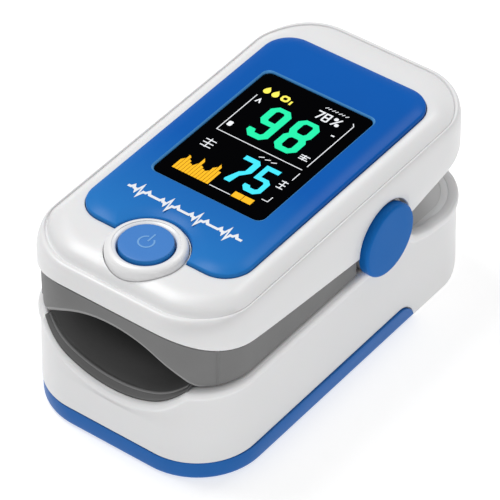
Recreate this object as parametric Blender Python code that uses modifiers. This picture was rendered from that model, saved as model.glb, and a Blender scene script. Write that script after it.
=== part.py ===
"""Fingertip pulse oximeter: a sprung clip of two half shells round a finger channel.

X is across the clip, Y runs from the finger opening (-Y) to the tail (+Y) and Z is up.
The origin is under the middle of the clip, on the surface that it stands on.
The upper half is modelled level and hangs from the empty upper_half, which lies on the
hinge axis and is turned by the small nose-down angle that the closed clip has.
"""
from math import asin, cos, pi, radians, sin

import bmesh
import bpy
from mathutils import Matrix, Vector

MM = 0.001
GAP = 0.3 * MM

# Overall sizes
LENGTH = 62.0 * MM
LOWER_WIDTH = 33.4 * MM
UPPER_WIDTH = 33.0 * MM
COVER_WIDTH = 33.8 * MM
FRONT = -LENGTH / 2
REAR = LENGTH / 2
CORNER = 9.4 * MM
WALL = 1.6 * MM
FLOOR = 1.0 * MM

# Hinge
HINGE_Y = 7.2 * MM
HINGE_Z = 18.6 * MM
NOSE_DOWN = radians(1.6)
AXLE_RADIUS = 1.0 * MM
BORE_RADIUS = 1.1 * MM
AXLE_HALF_LENGTH = 15.4 * MM
EAR_RADIUS = 5.3 * MM
EAR_INNER = 13.9 * MM
EAR_OUTER = 15.7 * MM
CAP_RADIUS = 5.35 * MM
CAP_OUTER = 17.5 * MM
NOTCH_RADIUS = 6.1 * MM
LUG_INNER = 11.9 * MM
LUG_OUTER = 13.5 * MM
LUG_RADIUS = 3.2 * MM

# Lower half
COVER_HEIGHT = 3.05 * MM
COVER_WALL = 1.2 * MM
COVER_FLOOR = 1.0 * MM
COVER_END_RADIUS = 3.4 * MM
COVER_END_Y = 10.9 * MM
COVER_END_Z = COVER_HEIGHT - COVER_END_RADIUS
RIM_Z = 15.6 * MM
TAIL_RIM_Z = 14.3 * MM
TAIL_ROUND = 8.0 * MM
HOLDER_TOP = 12.6 * MM
HOLDER_BOTTOM = 3.6 * MM
HOLDER_FRONT = -23.0 * MM
HOLDER_REAR = 27.2 * MM
HOLDER_WIDTH = 23.8 * MM
HOLDER_SCREW = (13.5 * MM, 16.0 * MM)

# Finger opening: two equal arcs that meet in a point on each side
MOUTH_ARC = 15.4 * MM
MOUTH_BOTTOM = 10.1 * MM
PAD_REAR = 1.3 * MM
SENSOR_Y = -16.0 * MM

# Batteries
CELL_RADIUS = 5.15 * MM
CELL_LENGTH = 43.7 * MM
CELL_NUB_LENGTH = 0.8 * MM
CELL_NUB_RADIUS = 1.9 * MM
CELL_X = 5.75 * MM
CELL_Z = 6.5 * MM
TROUGH_RADIUS = 5.5 * MM

# Upper half, before it is turned nose down
ROOF_UNDER = 26.3 * MM
POCKET_FLOOR = 27.2 * MM
PANEL_TOP = 29.7 * MM
PANEL_WIDTH = 26.5 * MM
PANEL_FRONT = -21.6 * MM
PANEL_REAR = 24.0 * MM
PANEL_CORNER = 4.2 * MM
WINDOW_WIDTH = 17.6 * MM
WINDOW_LENGTH = 25.0 * MM
WINDOW_Y = 2.7 * MM
WINDOW_TOP = 29.45 * MM
BUTTON_Y = -22.3 * MM
BUTTON_RADIUS = 3.65 * MM
RING_RADIUS = 5.5 * MM
RING_TOP = 29.6 * MM
BOARD_TOP = 25.9 * MM
BOARD_UNDER = 24.9 * MM
FRAME_TOP = 23.5 * MM
FRAME_UNDER = 22.7 * MM
PAD_TOP = 22.4 * MM
FRAME_SCREWS = [(side * 12.7 * MM, y * MM) for side in (-1, 1) for y in (-17.0, 18.0)]

COLOURS = {
    "white_abs": ((0.80, 0.80, 0.81), 0.35, 0.0),
    "blue_gloss": ((0.012, 0.13, 0.50), 0.18, 0.0),
    "grey_silicone": ((0.13, 0.13, 0.135), 0.65, 0.0),
    "grey_abs": ((0.40, 0.40, 0.41), 0.5, 0.0),
    "black_glass": ((0.004, 0.004, 0.005), 0.06, 0.0),
    "green_board": ((0.02, 0.16, 0.07), 0.45, 0.0),
    "black_resin": ((0.02, 0.02, 0.022), 0.4, 0.0),
    "clear_lens": ((0.75, 0.75, 0.80), 0.1, 0.0),
    "steel": ((0.62, 0.62, 0.64), 0.3, 1.0),
    "cell_sleeve": ((0.05, 0.05, 0.055), 0.3, 0.0),
    "amber_film": ((0.60, 0.28, 0.05), 0.4, 0.0),
}

PLANES = {
    "XY": Matrix.Identity(4),
    "YZ": Matrix(((0, 0, 1, 0), (1, 0, 0, 0), (0, 1, 0, 0), (0, 0, 0, 1))),
}


# ---------------------------------------------------------------- scene and materials

def clear_scene():
    for item in list(bpy.data.objects):
        bpy.data.objects.remove(item, do_unlink=True)


def new_collection(name):
    collection = bpy.data.collections.new(name)
    bpy.context.scene.collection.children.link(collection)
    return collection


def make_materials():
    materials = {}
    for name, (colour, roughness, metallic) in COLOURS.items():
        material = bpy.data.materials.new(name)
        material.use_nodes = True
        shader = material.node_tree.nodes["Principled BSDF"]
        shader.inputs["Base Color"].default_value = (*colour, 1.0)
        shader.inputs["Roughness"].default_value = roughness
        shader.inputs["Metallic"].default_value = metallic
        materials[name] = material
    return materials


def finish(piece, material):
    """Give a piece its material and its place in the object's collection."""
    for collection in list(piece.users_collection):
        collection.objects.unlink(piece)
    PARTS.objects.link(piece)
    piece.data.materials.clear()
    piece.data.materials.append(MATERIALS[material])
    piece.data.shade_smooth()
    piece.data.set_sharp_from_angle(angle=radians(35))
    return piece


def cutter(piece):
    for collection in list(piece.users_collection):
        collection.objects.unlink(piece)
    CUTTERS.objects.link(piece)
    piece.hide_render = True
    piece.display_type = "WIRE"
    return piece


# ---------------------------------------------------------------- outlines

def arc(centre, radius, start, end, steps):
    """Points of an arc from start to end, in degrees, with both ends."""
    points = []
    for step in range(steps + 1):
        angle = radians(start + (end - start) * step / steps)
        points.append((centre[0] + radius * cos(angle), centre[1] + radius * sin(angle)))
    return points


def rounded_rectangle(width, low, high, front_radius, rear_radius=None, steps=6):
    """Anticlockwise outline, symmetric in X, from low to high in Y."""
    if rear_radius is None:
        rear_radius = front_radius
    half = width / 2
    points = arc((half - front_radius, low + front_radius), front_radius, -90, 0, steps)
    points += arc((half - rear_radius, high - rear_radius), rear_radius, 0, 90, steps)
    points += arc((-half + rear_radius, high - rear_radius), rear_radius, 90, 180, steps)
    points += arc((-half + front_radius, low + front_radius), front_radius, 180, 270, steps)
    return points


def rectangle(width, low, high):
    return [(-width / 2, low), (width / 2, low), (width / 2, high), (-width / 2, high)]


def body_outline(width, inset, steps=6):
    """Plan of a half shell, pulled in by inset all round."""
    return rounded_rectangle(width - 2 * inset, FRONT + inset, REAR - inset,
                             CORNER - inset, steps=steps)


# ---------------------------------------------------------------- solids

def link_mesh(name, mesh):
    piece = bpy.data.objects.new(name, mesh)
    bpy.context.scene.collection.objects.link(piece)
    return piece


def curve_to_mesh(name, curve):
    """Closed mesh object of a curve with its caps welded."""
    guide = bpy.data.objects.new(name, curve)
    bpy.context.scene.collection.objects.link(guide)
    depsgraph = bpy.context.evaluated_depsgraph_get()
    mesh = bpy.data.meshes.new_from_object(guide.evaluated_get(depsgraph))
    mesh.name = name
    bpy.data.objects.remove(guide, do_unlink=True)
    bpy.data.curves.remove(curve)
    return link_mesh(name, mesh)


def edit_mesh(piece, edit):
    work = bmesh.new()
    work.from_mesh(piece.data)
    edit(work)
    bmesh.ops.recalc_face_normals(work, faces=work.faces)
    work.to_mesh(piece.data)
    work.free()


def outline_solid(name, outline, low, high, plane="XY"):
    """Prism of an outline in one plane, from low to high along the third axis."""
    curve = bpy.data.curves.new(name, "CURVE")
    curve.dimensions = "2D"
    curve.fill_mode = "BOTH"
    curve.extrude = (high - low) / 2
    spline = curve.splines.new("POLY")
    spline.points.add(len(outline) - 1)
    for point, (across, along) in zip(spline.points, outline):
        point.co = (across, along, 0.0, 1.0)
    spline.use_cyclic_u = True
    piece = curve_to_mesh(name, curve)
    middle = (low + high) / 2

    def tidy(work):
        bmesh.ops.remove_doubles(work, verts=work.verts, dist=0.001 * MM)
        bmesh.ops.dissolve_limit(work, angle_limit=radians(0.5), verts=work.verts,
                                 edges=work.edges)
        place = PLANES[plane] @ Matrix.Translation((0, 0, middle))
        bmesh.ops.transform(work, matrix=place, verts=work.verts)

    edit_mesh(piece, tidy)
    return piece


def box(name, size, centre):
    mesh = bpy.data.meshes.new(name)
    piece = link_mesh(name, mesh)

    def build(work):
        place = Matrix.Translation(centre) @ Matrix.Diagonal((*size, 1.0))
        bmesh.ops.create_cube(work, size=1.0, matrix=place)

    edit_mesh(piece, build)
    return piece


def cylinder(name, radius, low, high, centre, axis="Z", segments=24, top_radius=None):
    """Round bar from low to high along its axis; centre holds its other two coordinates."""
    turns = {
        "X": Matrix.Rotation(pi / 2, 4, "Y"),
        "Y": Matrix.Rotation(-pi / 2, 4, "X"),
        "Z": Matrix.Identity(4),
    }
    middle = Vector(centre)
    middle["XYZ".index(axis)] = (low + high) / 2
    mesh = bpy.data.meshes.new(name)
    piece = link_mesh(name, mesh)
    end_radius = radius if top_radius is None else top_radius

    def build(work):
        bmesh.ops.create_cone(work, cap_ends=True, segments=segments, radius1=radius,
                              radius2=end_radius, depth=high - low,
                              matrix=Matrix.Translation(middle) @ turns[axis])

    edit_mesh(piece, build)
    return piece


def turned(name, profile, origin, steps=28, closed=False):
    """Solid of revolution about Z; the profile runs down its outer side from the axis.

    A closed profile joins its last point to its first and makes a ring.
    """
    mesh = bpy.data.meshes.new(name)
    edges = [(index, index + 1) for index in range(len(profile) - 1)]
    if closed:
        edges.append((len(profile) - 1, 0))
    mesh.from_pydata([(radius, 0, height) for radius, height in profile], edges, [])
    piece = link_mesh(name, mesh)
    piece.location = origin
    screw = piece.modifiers.new("turn", "SCREW")
    screw.steps = steps
    screw.render_steps = steps
    screw.use_merge_vertices = True
    screw.merge_threshold = 0.01 * MM
    return piece


def loft(name, rings):
    """Solid through closed rings of points that have the same number of points each."""
    mesh = bpy.data.meshes.new(name)
    piece = link_mesh(name, mesh)

    def build(work):
        loops = []
        for ring in rings:
            corners = [work.verts.new(point) for point in ring]
            following = corners[1:] + corners[:1]
            loops.append([work.edges.new(pair) for pair in zip(corners, following)])
        for lower, upper in zip(loops, loops[1:]):
            bmesh.ops.bridge_loops(work, edges=lower + upper)
        bmesh.ops.contextual_create(work, geom=loops[0])
        bmesh.ops.contextual_create(work, geom=loops[-1])

    edit_mesh(piece, build)
    return piece


def wire(name, points, radius):
    """Round wire through points, with filled ends."""
    curve = bpy.data.curves.new(name, "CURVE")
    curve.dimensions = "3D"
    curve.bevel_depth = radius
    curve.bevel_resolution = 1
    curve.use_fill_caps = True
    spline = curve.splines.new("POLY")
    spline.points.add(len(points) - 1)
    for point, place in zip(spline.points, points):
        point.co = (*place, 1.0)
    piece = curve_to_mesh(name, curve)

    def weld(work):
        bmesh.ops.remove_doubles(work, verts=work.verts, dist=0.001 * MM)

    edit_mesh(piece, weld)
    return piece


def boolean(target, operation, *others):
    for other in others:
        modifier = target.modifiers.new(other.name, "BOOLEAN")
        modifier.operation = operation
        modifier.object = other
        modifier.solver = "EXACT"


def bevel(piece, width, segments, angle=40):
    modifier = piece.modifiers.new("round", "BEVEL")
    modifier.width = width
    modifier.segments = segments
    modifier.limit_method = "ANGLE"
    modifier.angle_limit = radians(angle)


# ---------------------------------------------------------------- shared cutters

def channel_section(y, half_width, low, high, split, steps=24):
    """Closed ring across the finger channel: one ellipse below split, one above it."""
    ring = []
    for step in range(steps):
        angle = 2 * pi * step / steps
        height = (high - split) if sin(angle) > 0 else (split - low)
        ring.append((half_width * cos(angle), y, split + height * sin(angle)))
    return ring


def finger_channel(name, lift):
    """The hollow that the finger lies in; lift raises its roof for the level upper half."""
    sections = [
        channel_section(-33.0 * MM, 12.4 * MM, 10.9 * MM, 22.4 * MM + lift, 16.6 * MM),
        channel_section(-30.6 * MM, 12.0 * MM, 11.3 * MM, 22.1 * MM + lift, 16.6 * MM),
        channel_section(-26.0 * MM, 10.6 * MM, 13.0 * MM, 21.3 * MM + lift, 16.8 * MM),
        channel_section(-20.0 * MM, 9.7 * MM, 14.6 * MM, 20.7 * MM + lift, 17.2 * MM),
        channel_section(-8.0 * MM, 9.3 * MM, 14.8 * MM, 20.4 * MM + lift, 17.4 * MM),
        channel_section(6.0 * MM, 9.0 * MM, 14.8 * MM, 20.4 * MM + lift, 17.4 * MM),
    ]
    return cutter(loft(name, sections))


def shell_edge_z(y):
    """Height of the upper shell's lower edge, before the half is turned nose down."""
    start = y - FRONT
    dip = 2.6 * MM * 0.5 ** (start / (2.4 * MM))
    return 22.9 * MM - 0.125 * start + dip


def upper_edge_points(drop):
    """Side view of the upper shell's lower edge from the nose to the hinge notch."""
    stations = [-32.0, -31.0, -30.0, -28.6, -27.0, -24.5, -21.0, -14.0, -6.0, 3.5]
    return [(y * MM, shell_edge_z(max(y * MM, FRONT)) - drop) for y in stations]


# ---------------------------------------------------------------- lower half

def lower_shell():
    shell = outline_solid("lower_shell", body_outline(LOWER_WIDTH, 0), 0, 24.2 * MM)
    cavity = cutter(outline_solid("cut_lower_cavity", body_outline(LOWER_WIDTH, WALL),
                                  FLOOR, 30 * MM))
    inner_round = TAIL_ROUND - FLOOR
    tail = arc((REAR - WALL - inner_round, TAIL_ROUND), inner_round, -90, 0, 8)
    outside = [(FRONT, -5 * MM), (FRONT, 30 * MM), (REAR - WALL, 30 * MM)]
    cavity_side = cutter(outline_solid("keep_lower_cavity", outside + tail[::-1],
                                       -20 * MM, 20 * MM, "YZ"))
    boolean(cavity, "INTERSECT", cavity_side)

    # Everything above the rim, with the two round ears left standing at the hinge
    drop = HINGE_Z - RIM_Z
    front_angle = 180 + asin(drop / EAR_RADIUS) * 180 / pi
    ear = arc((HINGE_Y, HINGE_Z), EAR_RADIUS, front_angle, -22, 16)
    above = [(-34 * MM, RIM_Z)] + ear
    above += [(14.2 * MM, 16.0 * MM), (17.6 * MM, 15.1 * MM), (21.8 * MM, TAIL_RIM_Z)]
    above += [(34 * MM, TAIL_RIM_Z), (34 * MM, 34 * MM), (-34 * MM, 34 * MM)]
    top_cut = cutter(outline_solid("cut_lower_top", above, -20 * MM, 20 * MM, "YZ"))

    # Bottom: room for the battery cover, and the round tail
    end_radius = COVER_END_RADIUS + GAP
    below = [(-34 * MM, COVER_HEIGHT + GAP)]
    below += arc((COVER_END_Y, COVER_END_Z), end_radius, 90, -10, 8)
    below += [(COVER_END_Y + end_radius, -4 * MM), (-34 * MM, -4 * MM)]
    cover_cut = cutter(outline_solid("cut_lower_cover", below, -20 * MM, 20 * MM, "YZ"))
    corner = arc((REAR - TAIL_ROUND, TAIL_ROUND), TAIL_ROUND, -90, 0, 10)
    corner += [(34 * MM, TAIL_ROUND), (34 * MM, -4 * MM), (REAR - TAIL_ROUND, -4 * MM)]
    tail_cut = cutter(outline_solid("cut_lower_tail", corner, -20 * MM, 20 * MM, "YZ"))

    scoop = cutter(cylinder("cut_lower_scoop", MOUTH_ARC, -33 * MM, -25 * MM,
                            (0, 0, MOUTH_BOTTOM + MOUTH_ARC), "Y", 72))
    boolean(shell, "DIFFERENCE", cavity, top_cut, cover_cut, tail_cut, scoop)
    for side in (-1, 1):
        label = "right" if side > 0 else "left"
        hinge_side(shell, side, label)
        x, y = HOLDER_SCREW
        boss = cutter(box(f"add_boss_{label}", (3.2 * MM, 2.8 * MM, 7.5 * MM),
                          (side * 13.9 * MM, y, 7.75 * MM)))
        hole = cutter(cylinder(f"cut_boss_{label}", 0.9 * MM, 7.0 * MM, 13.0 * MM,
                               (side * x, y, 0), segments=16))
        boolean(shell, "UNION", boss)
        boolean(shell, "DIFFERENCE", hole)
    return finish(shell, "white_abs")


def hinge_side(shell, side, label):
    """Thicken one ear inwards, sink its outer face for the cap and bore it."""
    low, high = sorted((side * EAR_INNER, side * 16.2 * MM))
    ear = cutter(cylinder(f"add_ear_{label}", EAR_RADIUS, low, high,
                          (0, HINGE_Y, HINGE_Z), "X", 40))
    low, high = sorted((side * EAR_OUTER, side * 18.0 * MM))
    pocket = cutter(cylinder(f"cut_ear_{label}", CAP_RADIUS + GAP, low, high,
                             (0, HINGE_Y, HINGE_Z), "X", 40))
    low, high = sorted((side * 13.0 * MM, side * 17.0 * MM))
    bore = cutter(cylinder(f"cut_bore_{label}", BORE_RADIUS, low, high,
                           (0, HINGE_Y, HINGE_Z), "X"))
    boolean(shell, "UNION", ear)
    boolean(shell, "DIFFERENCE", pocket, bore)


def battery_cover():
    outline = rounded_rectangle(COVER_WIDTH, FRONT, 17 * MM, 9.6 * MM, 2.0 * MM)
    cover = outline_solid("battery_cover", outline, 0, COVER_HEIGHT)
    bevel(cover, 0.5 * MM, 2)
    inner = rounded_rectangle(COVER_WIDTH - 2 * COVER_WALL, FRONT + COVER_WALL, 20 * MM,
                              9.6 * MM - COVER_WALL, 2.0 * MM)
    cavity = cutter(outline_solid("cut_cover_cavity", inner, COVER_FLOOR, 6 * MM))
    end = arc((COVER_END_Y, COVER_END_Z), COVER_END_RADIUS, 90, 5, 8)
    end += [(20 * MM, -2 * MM), (20 * MM, 6 * MM), (COVER_END_Y, 6 * MM)]
    end_cut = cutter(outline_solid("cut_cover_end", end, -20 * MM, 20 * MM, "YZ"))
    boolean(cover, "DIFFERENCE", cavity, end_cut)
    riser = [(8.0, 0.5), (10.0, 0.5), (11.5, 1.9), (18.0, 1.9), (18.0, 2.7), (10.5, 2.7)]
    tongue = cutter(outline_solid("add_cover_tongue", [(y * MM, z * MM) for y, z in riser],
                                  -2.0 * MM, 2.0 * MM, "YZ"))
    boolean(cover, "UNION", tongue)
    return finish(cover, "blue_gloss")


def battery_holder():
    holder = outline_solid("battery_holder",
                           rounded_rectangle(HOLDER_WIDTH, HOLDER_FRONT, HOLDER_REAR,
                                             1.0 * MM, 5.5 * MM),
                           HOLDER_BOTTOM, HOLDER_TOP)
    plate = cutter(outline_solid("add_holder_plate",
                                 rounded_rectangle(29.4 * MM, HOLDER_FRONT, 29.0 * MM,
                                                   1.0 * MM, 7.3 * MM),
                                 HOLDER_TOP - 0.8 * MM, HOLDER_TOP))
    stop = cutter(outline_solid("add_finger_stop",
                                rectangle(21.0 * MM, 2.6 * MM, 3.6 * MM),
                                HOLDER_TOP - 0.4 * MM, 16.9 * MM))
    bridge_slot = cutter(box("cut_bridge_slot", (3.0 * MM, 0.9 * MM, 6.6 * MM),
                             (0, 25.65 * MM, CELL_Z)))
    ribbon_slot = cutter(box("cut_ribbon_slot", (4.8 * MM, 3.0 * MM, 1.2 * MM),
                             (0, 3.1 * MM, HOLDER_TOP + 0.5 * MM)))
    boolean(holder, "UNION", plate, stop)
    boolean(holder, "DIFFERENCE", ribbon_slot)
    for side in (-1, 1):
        label = "right" if side > 0 else "left"
        trough = cutter(cylinder(f"cut_trough_{label}", TROUGH_RADIUS, -22.2 * MM,
                                 26.2 * MM, (side * CELL_X, 0, CELL_Z), "Y", 32))
        mouth = cutter(box(f"cut_trough_mouth_{label}",
                           (2 * TROUGH_RADIUS - 0.1 * MM, 48.0 * MM, CELL_Z),
                           (side * CELL_X, 2.0 * MM, CELL_Z / 2)))
        hole = cutter(cylinder(f"cut_holder_hole_{label}", 0.9 * MM, 9 * MM, 14 * MM,
                               (side * HOLDER_SCREW[0], HOLDER_SCREW[1], 0),
                               segments=16))
        boolean(holder, "DIFFERENCE", trough, mouth, hole)
    inner_round = TAIL_ROUND - FLOOR - GAP
    middle = REAR - WALL - GAP - inner_round
    corner = arc((middle, TAIL_ROUND), inner_round, -90, 0, 8)
    corner += [(34 * MM, TAIL_ROUND), (34 * MM, -4 * MM), (middle, -4 * MM)]
    tail_cut = cutter(outline_solid("cut_holder_tail", corner, -20 * MM, 20 * MM, "YZ"))
    boolean(holder, "DIFFERENCE", tail_cut, bridge_slot)
    return finish(holder, "grey_abs")


def battery(name, side, rear_end, nub_forward):
    """AAA cell along Y; rear_end is its tail-side face, nub included."""
    length = CELL_LENGTH + CELL_NUB_LENGTH
    profile = [(0.0, length), (CELL_NUB_RADIUS, length), (CELL_NUB_RADIUS, CELL_LENGTH),
               (CELL_RADIUS - 0.4 * MM, CELL_LENGTH), (CELL_RADIUS, CELL_LENGTH - 0.4 * MM),
               (CELL_RADIUS, 0.4 * MM), (CELL_RADIUS - 0.4 * MM, 0.0), (0.0, 0.0)]
    start = rear_end if nub_forward else rear_end - length
    cell = turned(name, profile, (side * CELL_X, start, CELL_Z), 24)
    cell.rotation_euler.x = pi / 2 if nub_forward else -pi / 2
    return finish(cell, "cell_sleeve")


def coil_points(start, end, radius_start, radius_end, turns, centre, steps=12):
    """Helix about a line along Y."""
    count = int(turns * steps)
    points = []
    for step in range(count + 1):
        share = step / count
        angle = 2 * pi * turns * share
        radius = radius_start + (radius_end - radius_start) * share
        points.append((centre[0] + radius * cos(angle), start + (end - start) * share,
                       centre[1] + radius * sin(angle)))
    return points


def battery_contacts():
    front = box("front_contact_plate", (8.4 * MM, 0.3 * MM, 7.0 * MM),
                (-CELL_X, -21.75 * MM, CELL_Z))
    finish(front, "steel")
    bridge = box("rear_contact_bridge", (19.6 * MM, 0.3 * MM, 6.0 * MM),
                 (0, 25.65 * MM, CELL_Z))
    finish(bridge, "steel")
    spring = wire("front_contact_spring",
                  coil_points(-21.6 * MM, -19.8 * MM, 3.6 * MM, 1.6 * MM, 2,
                              (CELL_X, CELL_Z)), 0.25 * MM)
    finish(spring, "steel")
    spring = wire("rear_contact_spring",
                  coil_points(25.0 * MM, 23.5 * MM, 2.8 * MM, 1.6 * MM, 2,
                              (-CELL_X, CELL_Z)), 0.25 * MM)
    finish(spring, "steel")


def lower_pad():
    body = outline_solid("lower_pad",
                         rounded_rectangle(29.4 * MM, FRONT + WALL + GAP, PAD_REAR,
                                           7.5 * MM, 0.5 * MM),
                         8.6 * MM, RIM_Z - GAP)
    step = cutter(box("cut_pad_step", (40 * MM, 40 * MM, 10 * MM),
                      (0, HOLDER_FRONT - GAP + 20 * MM, HOLDER_TOP + GAP - 5 * MM)))
    nose = cutter(outline_solid("add_pad_nose",
                                body_outline(LOWER_WIDTH, 0.5 * MM),
                                8.0 * MM, RIM_Z - 2 * GAP))
    arc_fill = cutter(cylinder("keep_pad_nose", MOUTH_ARC - GAP, -33 * MM, -24 * MM,
                               (0, 0, MOUTH_BOTTOM + MOUTH_ARC), "Y", 72))
    boolean(nose, "INTERSECT", arc_fill)
    channel = finger_channel("cut_pad_channel", 0)
    groove = cutter(box("cut_pad_groove", (8.6 * MM, 24.0 * MM, 1.5 * MM),
                        (0, -7.9 * MM, 13.1 * MM)))
    well = cutter(box("cut_pad_well", (6.6 * MM, 5.6 * MM, 6.0 * MM),
                      (0, SENSOR_Y, 15.0 * MM)))
    boolean(body, "DIFFERENCE", step)
    boolean(body, "UNION", nose)
    boolean(body, "DIFFERENCE", channel, groove, well)
    return finish(body, "grey_silicone")


def light_sensor():
    board = box("sensor_board", (8.0 * MM, 7.0 * MM, 0.5 * MM), (0, SENSOR_Y, 13.15 * MM))
    finish(board, "green_board")
    detector = box("photodetector", (4.4 * MM, 3.6 * MM, 0.6 * MM),
                   (0, SENSOR_Y, 14.0 * MM))
    finish(detector, "black_resin")
    window = box("sensor_window", (6.0 * MM, 5.0 * MM, 0.4 * MM),
                 (0, SENSOR_Y, 14.8 * MM))
    bevel(window, 0.1 * MM, 1)
    finish(window, "clear_lens")


def hinge():
    axle = cylinder("hinge_axle", AXLE_RADIUS, -AXLE_HALF_LENGTH, AXLE_HALF_LENGTH,
                    (0, HINGE_Y, HINGE_Z), "X")
    finish(axle, "steel")
    for side in (-1, 1):
        label = "right" if side > 0 else "left"
        inner = EAR_OUTER + GAP
        rim = 0.35 * MM
        profile = [(0.0, CAP_OUTER), (CAP_RADIUS - rim, CAP_OUTER),
                   (CAP_RADIUS - 0.3 * rim, CAP_OUTER - 0.3 * rim),
                   (CAP_RADIUS, CAP_OUTER - rim), (CAP_RADIUS, inner), (0.0, inner)]
        cap = turned(f"hinge_cap_{label}", profile, (0, HINGE_Y, HINGE_Z), 40)
        cap.rotation_euler.y = side * pi / 2
        finish(cap, "blue_gloss")
        torsion_spring(side, label)


def torsion_spring(side, label):
    """Coil round the axle with two legs to the tail, one for each half of the clip."""
    coil_radius = 1.75 * MM
    turns = 4
    steps = 14
    start = 7.6 * MM
    pitch = 0.8 * MM
    points = [(side * start, 19.5 * MM, HINGE_Z - 4.9 * MM)]
    count = turns * steps + steps // 2
    for step in range(count + 1):
        angle = -pi / 2 - 2 * pi * step / steps
        along = start + pitch * step / steps
        points.append((side * along, HINGE_Y + coil_radius * cos(angle),
                       HINGE_Z + coil_radius * sin(angle)))
    points.append((side * (start + pitch * count / steps), 19.5 * MM,
                   HINGE_Z + 2.9 * MM))
    finish(wire(f"torsion_spring_{label}", points, 0.3 * MM), "steel")


def flex_cable():
    """Ribbon from the sensor board back past the hinge and up to the main board."""
    thickness = 0.25 * MM
    route = [(-12.2 * MM, 13.15 * MM), (11.0 * MM, 13.15 * MM)]
    route += arc((16.0 * MM, 18.2 * MM), 5.05 * MM, -90, 90, 14)
    route += [(15.2 * MM, 23.4 * MM), (15.0 * MM, 24.4 * MM)]
    upper_side = []
    lower_side = []
    for index, (y, z) in enumerate(route):
        before = Vector(route[max(index - 1, 0)])
        after = Vector(route[min(index + 1, len(route) - 1)])
        along = (after - before).normalized()
        upper_side.append((y - along.y * thickness / 2, z + along.x * thickness / 2))
        lower_side.append((y + along.y * thickness / 2, z - along.x * thickness / 2))
    ribbon = outline_solid("flex_cable", lower_side + upper_side[::-1],
                           -1.8 * MM, 1.8 * MM, "YZ")
    return finish(ribbon, "amber_film")


def screw(name, place, head_up=True):
    """Pan-head screw; place is the seat of its head, and its shank runs away from it."""
    profile = [(0.0, 0.7 * MM), (0.9 * MM, 0.7 * MM), (1.3 * MM, 0.35 * MM),
               (1.3 * MM, 0.0), (0.6 * MM, 0.0), (0.6 * MM, -3.0 * MM),
               (0.0, -3.4 * MM)]
    piece = turned(name, profile, place, 16)
    if not head_up:
        piece.rotation_euler.x = pi
    return finish(piece, "steel")


# ---------------------------------------------------------------- upper half

def upper_shell():
    rings = []
    for inset, height in ((0.0, 12.0), (0.0, 26.2), (0.25, 26.9), (0.8, 27.35),
                          (1.6, 27.6), (3.4, 28.25), (6.0, 28.4)):
        nose = 1.0 + 0.5 * min(inset / 2.0, 1.0)
        outline = rounded_rectangle(UPPER_WIDTH - 2 * inset * MM,
                                    FRONT + inset * nose * MM + GAP, REAR - inset * MM,
                                    CORNER - 0.2 * MM - 0.8 * inset * MM)
        rings.append([(x, y, height * MM) for x, y in outline])
    shell = loft("upper_shell", rings)
    inner = rounded_rectangle(UPPER_WIDTH - 2 * WALL + 0.2 * MM, FRONT + GAP + WALL,
                              REAR - WALL, CORNER - WALL)
    cavity = cutter(outline_solid("cut_upper_cavity", inner, 8 * MM, ROOF_UNDER))

    notch_drop = HINGE_Z - shell_edge_z(2.0 * MM)
    start = 180 + asin(max(min(notch_drop / NOTCH_RADIUS, 1), -1)) * 180 / pi
    below = upper_edge_points(0)[:-1]
    below += arc((HINGE_Y, HINGE_Z), NOTCH_RADIUS, start, 0, 16)
    below += [(19.8 * MM, 19.7 * MM), (23.5 * MM, 20.4 * MM), (34 * MM, 22.3 * MM)]
    below += [(34 * MM, 5 * MM), (-34 * MM, 5 * MM)]
    below[0] = (-34 * MM, below[0][1])
    edge_cut = cutter(outline_solid("cut_upper_edge", below, -20 * MM, 20 * MM, "YZ"))

    pocket = cutter(panel_outline("cut_panel_pocket", GAP, POCKET_FLOOR, 34 * MM))
    opening = cutter(outline_solid("cut_display_opening",
                                   rounded_rectangle(18.4 * MM, WINDOW_Y - 13.0 * MM,
                                                     WINDOW_Y + 13.0 * MM, 1.0 * MM),
                                   20 * MM, 34 * MM))
    ring_hole = cutter(cylinder("cut_ring_hole", RING_RADIUS + GAP, 20 * MM, 34 * MM,
                                (0, BUTTON_Y, 0), segments=40))
    boolean(shell, "DIFFERENCE", cavity, edge_cut, pocket, opening, ring_hole)
    used = [shell, cavity, edge_cut, pocket, opening, ring_hole]
    for index, (x, y) in enumerate(FRAME_SCREWS, 1):
        boss = cutter(cylinder(f"add_post_{index}", 1.7 * MM, FRAME_TOP + GAP,
                               ROOF_UNDER + 0.4 * MM, (x, y, 0), segments=16))
        hole = cutter(cylinder(f"cut_post_{index}", 0.9 * MM, 20 * MM, 26.6 * MM,
                               (x, y, 0), segments=16))
        boolean(shell, "UNION", boss)
        boolean(shell, "DIFFERENCE", hole)
        used += [boss, hole]
    finish(shell, "white_abs")
    return used


def panel_outline(name, grow, low, high):
    """Rounded face outline with the bite round the button ring, as a prism."""
    radius = PANEL_CORNER + grow
    half = PANEL_WIDTH / 2 + grow
    front = PANEL_FRONT - grow
    rear = PANEL_REAR + grow
    bite = RING_RADIUS + 0.4 * MM - grow
    rise = asin((front - BUTTON_Y) / bite) * 180 / pi
    points = arc((0, BUTTON_Y), bite, 180 - rise, rise, 16)
    points += arc((half - radius, front + radius), radius, -90, 0, 5)
    points += arc((half - radius, rear - radius), radius, 0, 90, 5)
    points += arc((-half + radius, rear - radius), radius, 90, 180, 5)
    points += arc((-half + radius, front + radius), radius, 180, 270, 5)
    return outline_solid(name, points, low, high)


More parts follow.
